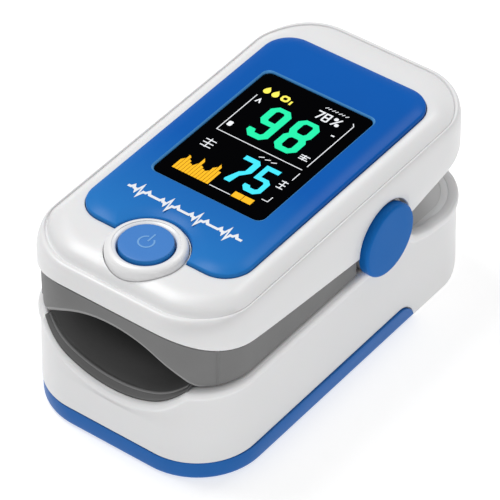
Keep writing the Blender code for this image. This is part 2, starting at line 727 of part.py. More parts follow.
def face_panel():
    panel = panel_outline("face_panel", 0, POCKET_FLOOR + GAP, PANEL_TOP)
    bevel(panel, 0.5 * MM, 2)
    opening = cutter(outline_solid("cut_window_opening",
                                   rounded_rectangle(WINDOW_WIDTH + 2 * GAP,
                                                     WINDOW_Y - WINDOW_LENGTH / 2 - GAP,
                                                     WINDOW_Y + WINDOW_LENGTH / 2 + GAP,
                                                     1.3 * MM),
                                   20 * MM, 34 * MM))
    boolean(panel, "DIFFERENCE", opening)
    finish(panel, "blue_gloss")
    return [panel, opening]


def display():
    window = outline_solid("display_window",
                           rounded_rectangle(WINDOW_WIDTH, WINDOW_Y - WINDOW_LENGTH / 2,
                                             WINDOW_Y + WINDOW_LENGTH / 2, 1.0 * MM),
                           28.5 * MM, WINDOW_TOP)
    finish(window, "black_glass")
    module = outline_solid("display_panel",
                           rectangle(16.4 * MM, WINDOW_Y - 11.8 * MM,
                                     WINDOW_Y + 11.8 * MM),
                           BOARD_TOP + GAP, 28.2 * MM)
    finish(module, "black_resin")
    return [window, module]


def button_group():
    """The fixed ring, the push button in it and the switch that it works."""
    under = 26.6 * MM
    shelf = 28.4 * MM
    hole = BUTTON_RADIUS + 0.25 * MM
    well = 4.7 * MM
    profile = [(hole, RING_TOP - 0.3 * MM), (hole + 0.4 * MM, RING_TOP),
               (RING_RADIUS - 0.6 * MM, RING_TOP), (RING_RADIUS, RING_TOP - 0.5 * MM),
               (RING_RADIUS, under), (well, under), (well, shelf), (hole, shelf)]
    centre = (0, BUTTON_Y, 0)
    ring = turned("button_ring", profile, centre, 36, closed=True)
    finish(ring, "white_abs")
    foot = 27.6 * MM
    flange = 4.4 * MM
    top = 29.5 * MM
    profile = [(0.0, top), (BUTTON_RADIUS - 0.4 * MM, top),
               (BUTTON_RADIUS, top - 0.4 * MM), (BUTTON_RADIUS, foot + 0.5 * MM),
               (flange, foot + 0.5 * MM), (flange, foot), (0.0, foot)]
    button = turned("power_button", profile, centre, 36)
    finish(button, "blue_gloss")
    body = 26.8 * MM
    switch = box("tact_switch", (4.6 * MM, 4.6 * MM, body - BOARD_TOP - GAP),
                 (0, BUTTON_Y, (body + BOARD_TOP + GAP) / 2))
    plunger = cutter(cylinder("add_plunger", 1.1 * MM, body - 0.3 * MM, 27.1 * MM,
                              centre, segments=16))
    boolean(switch, "UNION", plunger)
    finish(switch, "black_resin")
    return [ring, button, switch, plunger]


def electronics():
    board = outline_solid("main_board",
                          rounded_rectangle(21.0 * MM, -25.8 * MM, 22.0 * MM, 1.0 * MM,
                                            steps=2),
                          BOARD_UNDER, BOARD_TOP)
    finish(board, "green_board")
    chip = box("processor_chip", (7.0 * MM, 7.0 * MM, 0.8 * MM), (0, 3.0 * MM, 24.2 * MM))
    finish(chip, "black_resin")
    emitter = box("led_emitter", (4.6 * MM, 3.8 * MM, 1.3 * MM),
                  (0, SENSOR_Y, 23.9 * MM))
    finish(emitter, "black_resin")
    window = box("emitter_window", (6.0 * MM, 5.0 * MM, 0.4 * MM),
                 (0, SENSOR_Y, 22.0 * MM))
    bevel(window, 0.1 * MM, 1)
    finish(window, "clear_lens")
    return [board, chip, emitter, window]


def upper_frame():
    outline = rounded_rectangle(28.8 * MM, -28.6 * MM, 27.0 * MM, 6.8 * MM)
    frame = outline_solid("upper_frame", outline, FRAME_UNDER, FRAME_TOP)
    used = [frame]
    for side in (-1, 1):
        label = "right" if side > 0 else "left"
        lug_side = arc((HINGE_Y, HINGE_Z), LUG_RADIUS, 180, 360, 12)
        lug_side += [(HINGE_Y + 4.4 * MM, FRAME_UNDER + 0.4 * MM),
                     (HINGE_Y - 4.4 * MM, FRAME_UNDER + 0.4 * MM)]
        low, high = sorted((side * LUG_INNER, side * LUG_OUTER))
        lug = cutter(outline_solid(f"add_lug_{label}", lug_side, low, high, "YZ"))
        low, high = sorted((side * 11.0 * MM, side * 14.4 * MM))
        bore = cutter(cylinder(f"cut_lug_{label}", BORE_RADIUS, low, high,
                               (0, HINGE_Y, HINGE_Z), "X"))
        boolean(frame, "UNION", lug)
        boolean(frame, "DIFFERENCE", bore)
        used += [lug, bore]
    light = cutter(box("cut_frame_light", (6.8 * MM, 5.8 * MM, 6 * MM),
                       (0, SENSOR_Y, 23.0 * MM)))
    slot = cutter(box("cut_frame_slot", (5.6 * MM, 11.0 * MM, 6 * MM),
                      (0, 16.5 * MM, 23.0 * MM)))
    boolean(frame, "DIFFERENCE", light, slot)
    used += [light, slot]
    for side in (-1, 1):
        relief = cutter(box(f"cut_frame_ear_{side}", (1.6 * MM, 13.4 * MM, 3 * MM),
                            (side * 14.4 * MM, HINGE_Y, 23.0 * MM)))
        boolean(frame, "DIFFERENCE", relief)
        used.append(relief)
    for index, (x, y) in enumerate(FRAME_SCREWS, 1):
        hole = cutter(cylinder(f"cut_frame_hole_{index}", 0.9 * MM, 20 * MM, 25 * MM,
                               (x, y, 0), segments=16))
        boolean(frame, "DIFFERENCE", hole)
        used.append(hole)
        used.append(screw(f"frame_screw_{index}", (x, y, FRAME_UNDER - 0.1 * MM), False))
    finish(frame, "grey_abs")
    return used


def upper_pad():
    """Cushion with a skirt that fills the side gap between the two shells."""
    slope = sin(NOSE_DOWN)
    floor_front = RIM_Z + GAP + slope * (HINGE_Y - FRONT) + 0.1 * MM
    floor_rear = RIM_Z + GAP + slope * (HINGE_Y - PAD_REAR) + 0.1 * MM
    skirt = outline_solid("upper_pad",
                          rounded_rectangle(UPPER_WIDTH - 0.8 * MM,
                                            FRONT + 0.4 * MM + GAP, PAD_REAR,
                                            CORNER - 0.5 * MM, 0.4 * MM),
                          14 * MM, 26 * MM)
    side = upper_edge_points(GAP)[:-1]
    side = [point for point in side if point[0] < PAD_REAR]
    side += [(4 * MM, shell_edge_z(4 * MM) - GAP), (4 * MM, floor_rear)]
    side += [(-34 * MM, floor_front)]
    side[0] = (-34 * MM, side[0][1])
    profile = cutter(outline_solid("keep_pad_skirt", side, -20 * MM, 20 * MM, "YZ"))
    core_side = [(-34 * MM, floor_front), (4 * MM, floor_rear), (4 * MM, PAD_TOP),
                 (-34 * MM, PAD_TOP)]
    core = cutter(outline_solid("add_pad_core",
                                rounded_rectangle(29.2 * MM, FRONT + GAP + WALL + GAP,
                                                  PAD_REAR - 0.1 * MM, 7.2 * MM,
                                                  0.4 * MM),
                                14 * MM, 26 * MM))
    core_profile = cutter(outline_solid("keep_pad_core", core_side, -20 * MM, 20 * MM,
                                        "YZ"))
    boolean(core, "INTERSECT", core_profile)
    channel = finger_channel("cut_upper_channel", slope * 26 * MM)
    light = cutter(box("cut_pad_light", (6.6 * MM, 5.6 * MM, 6 * MM),
                       (0, SENSOR_Y, 22.5 * MM)))
    above = cutter(outline_solid("cut_pad_above",
                                 rounded_rectangle(29.2 * MM, FRONT + 2 * GAP + WALL,
                                                   8 * MM, 7.2 * MM, 0.4 * MM),
                                 PAD_TOP + 0.01 * MM, 34 * MM))
    boolean(skirt, "INTERSECT", profile)
    boolean(skirt, "DIFFERENCE", above)
    boolean(skirt, "UNION", core)
    boolean(skirt, "DIFFERENCE", channel, light)
    used = [skirt, profile, above, core, core_profile, channel, light]
    for index, (x, y) in enumerate(FRAME_SCREWS, 1):
        if y < 0:
            well = cutter(cylinder(f"cut_pad_screw_{index}", 1.9 * MM, 21.4 * MM,
                                   25 * MM, (x, y, 0), segments=16))
            boolean(skirt, "DIFFERENCE", well)
            used.append(well)
    finish(skirt, "grey_silicone")
    return used


# ---------------------------------------------------------------- assembly

def hang(pieces, empty):
    """Parent level pieces to an empty on the hinge axis, so that its turn carries them."""
    for piece in pieces:
        piece.parent = empty
        piece.location = piece.location - empty.location


def build_lower_half():
    lower_shell()
    battery_cover()
    battery_holder()
    battery("battery_1", -1, 23.1 * MM, True)
    battery("battery_2", 1, 25.2 * MM, False)
    battery_contacts()
    lower_pad()
    light_sensor()
    hinge()
    flex_cable()
    for index, side in enumerate((-1, 1), 1):
        x, y = HOLDER_SCREW
        screw(f"holder_screw_{index}", (side * x, y, HOLDER_TOP + 0.1 * MM))


def build_upper_half():
    empty = bpy.data.objects.new("upper_half", None)
    PARTS.objects.link(empty)
    empty.location = (0, HINGE_Y, HINGE_Z)
    empty.rotation_euler.x = NOSE_DOWN
    pieces = upper_shell()
    pieces += face_panel()
    pieces += display()
    pieces += button_group()
    pieces += electronics()
    pieces += upper_frame()
    pieces += upper_pad()
    hang(pieces, empty)


clear_scene()
PARTS = new_collection("fingertip_pulse_oximeter")
CUTTERS = new_collection("cutters")
MATERIALS = make_materials()
build_lower_half()
build_upper_half()
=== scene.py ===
"""Looks of the fingertip pulse oximeter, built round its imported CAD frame.

Lengths here are in millimetres until a mesh is made. The upper half's pieces are drawn
level and then turned nose down about the hinge, as the CAD does.
"""
from math import asin, atan2, cos, pi, radians, sin, sqrt

import bmesh
import bpy
from mathutils import Matrix, Vector


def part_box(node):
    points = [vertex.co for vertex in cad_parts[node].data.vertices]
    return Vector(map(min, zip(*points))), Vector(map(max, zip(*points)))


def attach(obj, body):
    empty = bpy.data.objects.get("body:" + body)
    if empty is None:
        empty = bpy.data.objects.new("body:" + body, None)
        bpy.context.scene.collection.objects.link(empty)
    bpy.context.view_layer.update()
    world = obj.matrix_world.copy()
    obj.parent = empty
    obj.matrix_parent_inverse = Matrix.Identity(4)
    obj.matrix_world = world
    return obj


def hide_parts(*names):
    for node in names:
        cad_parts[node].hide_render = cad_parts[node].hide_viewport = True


MM = 0.001

# -------- camera

AZIMUTH = radians(37.23)
ELEVATION = radians(40.98)
TARGET = Vector((0.0, -3.74, 15.04))
DISTANCE = 469.3
SHIFT_RIGHT = 1.842
SHIFT_UP = 0.325
LENS = 252.9


def linked(name, data):
    """New object in the scene."""
    made = bpy.data.objects.new(name, data)
    bpy.context.scene.collection.objects.link(made)
    return made


def make_camera():
    """Long lens from the front right and above."""
    back = Vector((sin(AZIMUTH) * cos(ELEVATION), -cos(AZIMUTH) * cos(ELEVATION),
                   sin(ELEVATION)))
    right = Vector((cos(AZIMUTH), sin(AZIMUTH), 0.0))
    up = back.cross(right)
    data = bpy.data.cameras.new("camera")
    data.lens = LENS
    data.sensor_width = 36.0
    data.clip_start = 0.01
    data.clip_end = 20.0
    camera = linked("camera", data)
    eye = (TARGET + back * DISTANCE + right * SHIFT_RIGHT + up * SHIFT_UP) * MM
    turn = Matrix((right, up, back)).transposed().to_4x4()
    camera.matrix_world = Matrix.Translation(eye) @ turn
    bpy.context.scene.camera = camera


# -------- frame

make_camera()
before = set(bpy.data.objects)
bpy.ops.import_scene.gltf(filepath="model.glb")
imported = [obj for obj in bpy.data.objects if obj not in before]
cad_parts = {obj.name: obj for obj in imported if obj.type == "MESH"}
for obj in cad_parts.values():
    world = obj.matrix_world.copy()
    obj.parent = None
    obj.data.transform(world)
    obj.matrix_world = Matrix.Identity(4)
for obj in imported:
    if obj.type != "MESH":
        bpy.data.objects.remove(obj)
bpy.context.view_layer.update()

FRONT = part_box("lower_shell")[0].y / MM
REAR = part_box("lower_shell")[1].y / MM
CAP_LOW, CAP_HIGH = (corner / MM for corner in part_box("hinge_cap_right"))
HINGE_Y = (CAP_LOW.y + CAP_HIGH.y) / 2
HINGE_Z = (CAP_LOW.z + CAP_HIGH.z) / 2
NOSE_DOWN = radians(1.6)
HINGE = Vector((0.0, HINGE_Y, HINGE_Z))
LEVEL_TO_WORLD = (Matrix.Translation(HINGE) @ Matrix.Rotation(NOSE_DOWN, 4, "X")
                  @ Matrix.Translation(-HINGE))
SIDES = ((1, "right"), (-1, "left"))


# -------- materials

def feed(tree, made, socket, value):
    """Link an output to a socket, or set the socket's own value."""
    if isinstance(value, bpy.types.NodeSocket):
        tree.links.new(value, made.inputs[socket])
    else:
        made.inputs[socket].default_value = value


def node(tree, kind, output, **values):
    """New shader node fed by the values; returns one of its outputs."""
    made = tree.nodes.new(kind)
    for key, value in values.items():
        feed(tree, made, key.replace("_", " "), value)
    return made.outputs[output]


def ramp(tree, source, low, high, start=0.0, end=1.0):
    """Colour that runs from low at start to high at end of the source."""
    made = tree.nodes.new("ShaderNodeValToRGB")
    for element, place, colour in zip(made.color_ramp.elements, (start, end),
                                      (low, high)):
        element.position = place
        element.color = (*colour, 1.0)
    feed(tree, made, "Fac", source)
    return made.outputs["Color"]


def moulded(name, colour, roughness, vary=0.06, grain=0.02, grain_scale=2600.0,
            metallic=0.0, transmission=0.0, subsurface=0.0, rough_vary=0.08,
            specular=0.5, along=None):
    """Moulded plastic: slow colour drift, uneven gloss and a fine surface grain.

    along is (other colour, start, end): the colour runs from the other one at Y = start
    to its own at Y = end, both in metres.
    """
    material = bpy.data.materials.new(name + "_look")
    material.use_nodes = True
    tree = material.node_tree
    shader = tree.nodes["Principled BSDF"]
    for socket, value in (("Metallic", metallic), ("Transmission Weight", transmission),
                          ("Subsurface Weight", subsurface), ("Subsurface Scale", 0.002),
                          ("Specular IOR Level", specular)):
        feed(tree, shader, socket, value)
    place = node(tree, "ShaderNodeTexCoord", "Object")
    drift = node(tree, "ShaderNodeTexNoise", "Fac", Vector=place, Scale=45.0, Detail=3.0)
    base = ramp(tree, drift, [channel * (1.0 - vary) for channel in colour],
                [min(channel * (1.0 + vary), 1.0) for channel in colour], 0.3, 0.7)
    # The along ramp paints light and shade into the colour: a painted reflection on the
    # blue face plate and painted shade down the finger channel.
    if along:
        other, start, end = along
        across = tree.nodes.new("ShaderNodeSeparateXYZ")
        feed(tree, across, "Vector", place)
        share = node(tree, "ShaderNodeMapRange", "Result", Value=across.outputs["Y"],
                     From_Min=start, From_Max=end, To_Min=1.0, To_Max=0.0)
        base = node(tree, "ShaderNodeMixRGB", "Color", Fac=share, Color1=base,
                    Color2=(*other, 1.0))
    feed(tree, shader, "Base Color", base)
    smear = node(tree, "ShaderNodeTexNoise", "Fac", Vector=place, Scale=240.0, Detail=5.0)
    feed(tree, shader, "Roughness",
         node(tree, "ShaderNodeMapRange", "Result", Value=smear,
              To_Min=max(roughness - rough_vary, 0.02),
              To_Max=min(roughness + rough_vary, 1.0)))
    if grain:
        fine = node(tree, "ShaderNodeTexNoise", "Fac", Vector=place, Scale=grain_scale,
                    Detail=2.0)
        feed(tree, shader, "Normal", node(tree, "ShaderNodeBump", "Normal", Height=fine,
                                          Strength=grain, Distance=0.0001))
    return material


def rubber(name, shade, roughness, **options):
    """Silicone: an even grey with a coarser grain than the plastics."""
    return moulded(name, (shade, shade, shade), roughness, grain_scale=1900.0, **options)


def lit(name, colour, strength):
    """Lit display dots: an even glow with a faint pixel grid in it."""
    material = moulded(name, [channel * 0.4 for channel in colour], 0.3, grain=0.0)
    tree = material.node_tree
    shader = tree.nodes["Principled BSDF"]
    place = node(tree, "ShaderNodeTexCoord", "Object")
    dots = node(tree, "ShaderNodeTexVoronoi", "Distance", Vector=place, Scale=5200.0)
    feed(tree, shader, "Emission Color",
         ramp(tree, dots, colour, [channel * 0.86 for channel in colour]))
    feed(tree, shader, "Emission Strength", strength)
    return material


LOOK = {
    "white": moulded("white_abs", (0.80, 0.80, 0.805), 0.34, vary=0.012,
                     grain=0.03, subsurface=0.03),
    "ring": moulded("ring_white", (0.86, 0.86, 0.865), 0.3, vary=0.01, grain=0.02),
    # Painted reflection on the blue plastic: a lighter blue at the front, fading to its
    # own blue between Y = -26 mm and Y = -2 mm.
    "blue": moulded("blue_gloss", (0.0, 0.10, 0.44), 0.34, vary=0.05,
                    grain=0.015, rough_vary=0.04, specular=0.12,
                    along=((0.022, 0.21, 0.58), -0.026, -0.002)),
    # Painted highlight: a lighter blue for the thin ring round the window opening.
    "bezel_painted_highlight_blue": moulded("bezel_painted_highlight_blue", (0.05, 0.26, 0.60), 0.3, vary=0.03, grain=0.0),
    "base_blue": moulded("base_blue", (0.008, 0.13, 0.45), 0.35, vary=0.05, grain=0.03,
                         specular=0.2),
    "cap_blue": moulded("cap_blue", (0.008, 0.14, 0.48), 0.4, vary=0.04,
                        grain=0.04, specular=0.05),
    # Painted light: a lighter blue for the button's upward faces, while its steep sides
    # take the darker panel blue.
    "button_painted_lit_top": moulded("button_painted_lit_top", (0.05, 0.215, 0.60), 0.42, vary=0.03,
                           grain=0.05, specular=0.3),
    "icon_blue": moulded("icon_blue", (0.16, 0.38, 0.72), 0.4, vary=0.04, grain=0.02),
    "silicone": rubber("silicone", 0.165, 0.6, vary=0.08, grain=0.12, rough_vary=0.1),
    # Painted highlight: a lighter grey for the upper pad's rolled lip.
    "silicone_lip_painted_highlight": rubber("silicone_lip_painted_highlight", 0.26, 0.45, vary=0.06, grain=0.1),
    # Painted shade: a darker grey for the lower pad's front band in the mouth.
    "silicone_band_painted_shade": rubber("silicone_band_painted_shade", 0.125, 0.55, vary=0.08, grain=0.12),
    # Painted highlight: a lighter grey for the bead along the lower pad's ridge.
    "ridge": rubber("silicone_ridge_painted_highlight", 0.2, 0.4, vary=0.06, grain=0.1),
    # Painted shade: near-black grey for the finger channel, a lighter grey at the mouth
    # (Y = -30.2 mm) darkening to near black by Y = -22.5 mm.
    "painted_shade_channel": rubber("silicone_channel_painted_shade", 0.014, 0.65, vary=0.08, grain=0.12,
                          specular=0.3, along=((0.2, 0.2, 0.2), -0.0302, -0.0225)),
    "grey": moulded("grey_abs", (0.66, 0.66, 0.66), 0.5, vary=0.05, grain=0.08),
    # Painted shade: dark grey on the hinge ears, seen in the gap round the discs.
    "shade": moulded("hinge_ear_painted_shade", (0.24, 0.24, 0.25), 0.5, vary=0.05, grain=0.05),
    "screen": moulded("screen_glass", (0.0015, 0.0015, 0.002), 0.1, vary=0.1,
                      grain=0.0, specular=0.0, rough_vary=0.02),
    "print": moulded("white_print", (0.86, 0.88, 0.92), 0.45, vary=0.03, grain=0.05),
    "board": moulded("board", (0.02, 0.16, 0.07), 0.45, vary=0.15, grain=0.1),
    "resin": moulded("resin", (0.02, 0.02, 0.022), 0.4, vary=0.2, grain=0.1),
    "lens": moulded("lens", (0.55, 0.55, 0.60), 0.12, vary=0.05, grain=0.01,
                    transmission=0.4),
    "steel": moulded("steel", (0.62, 0.62, 0.64), 0.3, vary=0.1, grain=0.05,
                     metallic=1.0),
    "sleeve": moulded("cell_sleeve", (0.05, 0.05, 0.055), 0.3, vary=0.2, grain=0.03),
    "film": moulded("amber_film", (0.55, 0.25, 0.04), 0.4, vary=0.15, grain=0.04),
    "green_lit": lit("green_digits", (0.0, 0.86, 0.40), 0.75),
    "cyan_lit": lit("cyan_digits", (0.045, 0.79, 1.0), 0.75),
    "amber_lit": lit("amber_bars", (1.0, 0.50, 0.0), 0.75),
    "yellow_lit": lit("yellow_mark", (1.0, 0.88, 0.10), 0.75),
    "white_lit": lit("white_lines", (0.9, 0.92, 0.95), 0.7),
}


# -------- mesh helpers

SHOULDER_Z = 25.6   # where the upper shell's wall starts to round over, level frame
LIFT_DEPTH = 1.8    # height over which the lift of the top fades in above the shoulder
LIFT_SLOPE = 0.0159
LIFT_END_Y = 15.5
TAIL_LIFT = 0.5
TAIL_LIFT_Y = 24.6


def ease(value):
    """Smooth step from 0 to 1."""
    value = min(max(value, 0.0), 1.0)
    return value * value * (3 - 2 * value)


def nose_lift(y):
    """Rise of the top over a plain level shape, at the nose and at the rear rim."""
    return (LIFT_SLOPE * max(LIFT_END_Y - y, 0.0)
            + TAIL_LIFT * ease((y - TAIL_LIFT_Y) / 5.5))


def place_piece(piece, look, body, replaced=(), level=False, smooth=40):
    """Bring a drawn piece to metres, turned if it was drawn level, and fasten it."""
    turn = LEVEL_TO_WORLD if level else Matrix.Identity(4)
    if level:
        for vertex in piece.data.vertices:
            share = min(max((vertex.co.z - SHOULDER_Z) / LIFT_DEPTH, 0.0), 1.0)
            vertex.co.z += share * nose_lift(vertex.co.y)
    piece.data.transform(Matrix.Scale(MM, 4) @ turn)
    piece.data.materials.append(LOOK[look])
    piece.data.shade_smooth()
    piece.data.set_sharp_from_angle(angle=radians(smooth))
    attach(piece, body)
    if replaced:
        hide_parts(*replaced)


def new_piece(name, work):
    """Object from a bmesh, with doubled points merged and normals outwards."""
    bmesh.ops.remove_doubles(work, verts=work.verts, dist=0.0005)
    bmesh.ops.recalc_face_normals(work, faces=work.faces)
    mesh = bpy.data.meshes.new(name)
    work.to_mesh(mesh)
    work.free()
    return linked(name, mesh)


def second_look(piece, look, chosen):
    """Give a second material to the faces for which chosen(face) is true."""
    piece.data.materials.append(LOOK[look])
    for face in piece.data.polygons:
        face.material_index = int(chosen(face))


def skin(work, rows, caps=True):
    """Quads between closed rows of points; caps fill the two ends."""
    loops = [[work.verts.new(point) for point in row] for row in rows]
    count = len(rows[0])
    for lower, upper in zip(loops, loops[1:]):
        for index in range(count):
            following = (index + 1) % count
            work.faces.new((lower[index], lower[following], upper[following],
                            upper[index]))
    if caps:
        work.faces.new(loops[0][::-1])
        work.faces.new(loops[-1])


def lofted(name, rows, caps=True):
    """Piece made of one skin over the rows."""
    work = bmesh.new()
    skin(work, rows, caps)
    return new_piece(name, work)


def plan(half, front, rear, radius, stations=(), corner_steps=16, end_steps=8,
         tail=None):
    """Anticlockwise rounded outline with outward normals: (x, y, normal x, normal y).

    radius rounds the front corners and tail the rear ones; stations are extra Y places
    down the straight sides.
    """
    tail = radius if tail is None else tail
    quarter = [radians(90 * step / corner_steps) for step in range(corner_steps + 1)]
    side = [(half - radius + radius * sin(angle), front + radius - radius * cos(angle),
             sin(angle), -cos(angle)) for angle in quarter]
    side += [(half, y, 1.0, 0.0) for y in stations if front + radius < y < rear - tail]
    side += [(half - tail + tail * cos(angle), rear - tail + tail * sin(angle),
              cos(angle), sin(angle)) for angle in quarter]
    points = list(side)
    width = 2 * (half - tail)
    for step in range(1, end_steps):
        points.append((half - tail - width * step / end_steps, rear, 0.0, 1.0))
    points += [(-x, y, -nx, ny) for x, y, nx, ny in side[::-1]]
    width = 2 * (half - radius)
    for step in range(1, end_steps):
        points.append((-half + radius + width * step / end_steps, front, 0.0, -1.0))
    return points


def cut_away(piece, other):
    """Cut the other piece out of this one, exactly, and delete it."""
    modifier = piece.modifiers.new("cut", "BOOLEAN")
    modifier.operation = "DIFFERENCE"
    modifier.object = other
    modifier.solver = "EXACT"
    bpy.context.view_layer.update()
    depsgraph = bpy.context.evaluated_depsgraph_get()
    mesh = bpy.data.meshes.new_from_object(piece.evaluated_get(depsgraph))
    piece.modifiers.clear()
    piece.data = mesh
    mesh.name = piece.name
    bpy.data.objects.remove(other, do_unlink=True)


def turned(name, profile, steps=96, caps=True):
    """Solid of revolution about Z from (radius, height) points."""
    around = [2 * pi * step / steps for step in range(steps)]
    return lofted(name, [[(radius * cos(angle), radius * sin(angle), height)
                          for angle in around] for radius, height in profile], caps)


def fillet(start, corner, end, steps=6):
    """Round the corner of a profile with a quadratic curve from start to end."""
    points = []
    for step in range(steps + 1):
        share = step / steps
        points.append(tuple((1 - share) ** 2 * a + 2 * share * (1 - share) * b
                            + share ** 2 * c for a, b, c in zip(start, corner, end)))
    return points


def rows_along(outline, profile):
    """One ring of points for each profile point (inset, height)."""
    return [[(x - nx * inset, y - ny * inset, height) for x, y, nx, ny in outline]
            for inset, height in profile]


def pulled_in(outline, insets, heights):
    """A ring of points: each outline point has its own inset and height."""
    return [(x - nx * inset, y - ny * inset, height)
            for (x, y, nx, ny), inset, height in zip(outline, insets, heights)]


def slid(piece, y):
    """Move a piece that was drawn about the Z axis to its own Y."""
    piece.data.transform(Matrix.Translation((0, y, 0)))
    return piece


def on_hinge(piece, side):
    """Turn a piece drawn about the Z axis onto the hinge axis, on one side."""
    piece.data.transform(Matrix.Translation(HINGE)
                         @ Matrix.Rotation(side * pi / 2, 4, "Y"))
    return piece


# -------- upper shell

NOTCH_RADIUS = 5.75   # round the hinge disc
UPPER_HALF = 16.5
UPPER_FRONT = FRONT + 0.3
UPPER_CORNER = 9.2
UPPER_WALL = 1.5
EDGE_ROUND = 0.35     # lower edge of the wall
ROOF_UNDERSIDE = 26.3
TOP_Z = 27.34         # just inside the fine line
CROWN_RISE = 1.34
PANEL_SEAT = 7.8      # inset at which the crown ends, under the face panel
# Fine line round the crown: offset across it, in line widths, and height
FINE_LINE = ((-0.6, 27.40), (-0.45, 27.37), (-0.25, 27.22), (-0.05, 27.1),
             (0.15, 27.08), (0.35, 27.16), (0.6, TOP_Z))


def upper_edge(y):
    """Height of the upper shell's lower edge in the level frame."""
    start = y - FRONT
    drop = 22.9 - 0.125 * start + 2.6 * 0.5 ** (start / 2.4)
    behind = [(HINGE_Y + NOTCH_RADIUS, HINGE_Z), (19.8, 19.7), (23.5, 20.4), (34, 22.3)]
    if y <= HINGE_Y - NOTCH_RADIUS:
        return drop
    if y < HINGE_Y + NOTCH_RADIUS:
        return HINGE_Z + sqrt(max(NOTCH_RADIUS ** 2 - (y - HINGE_Y) ** 2, 0.0))
    for (y0, z0), (y1, z1) in zip(behind, behind[1:]):
        if y <= y1:
            return z0 + (z1 - z0) * (y - y0) / (y1 - y0)
    return behind[-1][1]


def side_stations():
    """Y stations down a straight side, close together round the hinge notch."""
    stations = [-21.8 + 0.9 * step for step in range(26)]
    for step in range(33):
        stations.append(HINGE_Y - NOTCH_RADIUS * cos(pi * step / 32))
    stations += [14.2, 15.2, 16.4, 17.8, 19.0, 19.8, 20.6, 21.4]
    return stations


def crease_inset(ny):
    """Inset of the fine line round the crown: narrow at the sides, wide at the nose."""
    return 0.62 + (1.2 * ease(-ny) if ny < 0 else 0.5 * ease(ny))


def line_width(ny):
    """Width of the fine line: it is wider round the nose."""
    return 0.22 + 0.55 * ease(-ny)


def crown(depth, ny):
    """Height of the crown at this depth inside the fine line."""
    run = 2.8 + (0.6 * ease(-ny) if ny < 0 else 2.2 * ease(ny))
    rise = sin(pi / 2 * min(depth / run, 1.0))
    return TOP_Z + CROWN_RISE * rise ** (1.0 - 0.35 * ease(-ny))


def upper_shell_rows(outline):
    """Rings from the roof's underside, round the lower edge and up to the crown."""
    edge = [upper_edge(y) for x, y, nx, ny in outline]
    crease = [crease_inset(ny) for x, y, nx, ny in outline]
    count = len(outline)
    rows = [pulled_in(outline, [UPPER_WALL] * count, [ROOF_UNDERSIDE] * count)]
    for inset, lift in ((UPPER_WALL, 0.25), (UPPER_WALL - 0.08, 0.08),
                        (UPPER_WALL - 0.25, 0.0), (EDGE_ROUND, 0.0),
                        (EDGE_ROUND * 0.45, EDGE_ROUND * 0.14),
                        (EDGE_ROUND * 0.14, EDGE_ROUND * 0.45), (0.0, EDGE_ROUND)):
        rows.append(pulled_in(outline, [inset] * count,
                              [min(height + lift, 26.0) for height in edge]))
    for share in (0.5, 1.0):
        rows.append(pulled_in(outline, [0.0] * count,
                              [height + EDGE_ROUND
                               + (SHOULDER_Z - height - EDGE_ROUND) * share
                               for height in edge]))
    for step in range(1, 9):
        angle = pi / 2 * step / 8
        rows.append(pulled_in(outline, [0.68 * (1 - cos(angle)) * inset
                                        for inset in crease],
                              [SHOULDER_Z + 1.82 * sin(angle)] * count))
    for offset, height in FINE_LINE:
        rows.append(pulled_in(outline, [inset + offset * line_width(ny) for inset,
                                        (x, y, nx, ny) in zip(crease, outline)],
                              [height] * count))
    for step in range(1, 13):
        row = []
        for (x, y, nx, ny), inset in zip(outline, crease):
            start = inset + FINE_LINE[-1][0] * line_width(ny)
            reach = start + (PANEL_SEAT - start) * step / 12
            row.append((x - nx * reach, y - ny * reach, crown(reach - start, ny)))
        rows.append(row)
    return rows


def upper_shell():
    """White top shell, with the pocket for the face panel and the well for the ring."""
    outline = plan(UPPER_HALF, UPPER_FRONT, REAR, UPPER_CORNER, side_stations())
    shell = lofted("upper_shell_cover", upper_shell_rows(outline))
    pocket = lofted("cut_panel", [[(x, y, z) for x, y in panel_outline(-0.12)]
                                  for z in (27.25, 34.0)])
    cut_away(shell, pocket)
    well = turned("cut_ring", [(RING_RADIUS + 0.12, height) for height in (27.1, 34.0)])
    cut_away(shell, slid(well, BUTTON_Y))
    place_piece(shell, "white", "upper_body", ["upper_shell"], True, 32)


# -------- face panel

PANEL_HALF = 13.05
PANEL_FRONT = -21.35
PANEL_REAR = 24.2
PANEL_CORNER = 4.2
PANEL_TOP = 29.7
BUTTON_Y = -22.3
BUTTON_RADIUS = 3.65
RING_RADIUS = 5.5
RING_TOP = 29.85
WINDOW_Y = 2.7
WINDOW_TOP = 29.45


def panel_outline(inset, corner_steps=12, bite_steps=40):
    """Outline of the face panel pulled in by inset, with the bite round the ring."""
    radius = max(PANEL_CORNER - inset, 0.2)
    half = PANEL_HALF - inset
    front = PANEL_FRONT + inset
    rear = PANEL_REAR - inset
    bite = RING_RADIUS + 0.35 + inset
    rise = asin((front - BUTTON_Y) / bite)
    points = []
    for step in range(bite_steps + 1):
        angle = pi - rise + (2 * rise - pi) * step / bite_steps
        points.append((bite * cos(angle), BUTTON_Y + bite * sin(angle)))
    corners = ((half, front, -90, 1, -1), (half, rear, 0, 1, 1), (-half, rear, 90, -1, 1),
               (-half, front, 180, -1, -1))
    for x, y, start, sx, sy in corners:
        centre = (x - sx * radius, y - sy * radius)
        for step in range(corner_steps + 1):
            angle = radians(start + 90 * step / corner_steps)
            points.append((centre[0] + radius * cos(angle),
                           centre[1] + radius * sin(angle)))
    return points


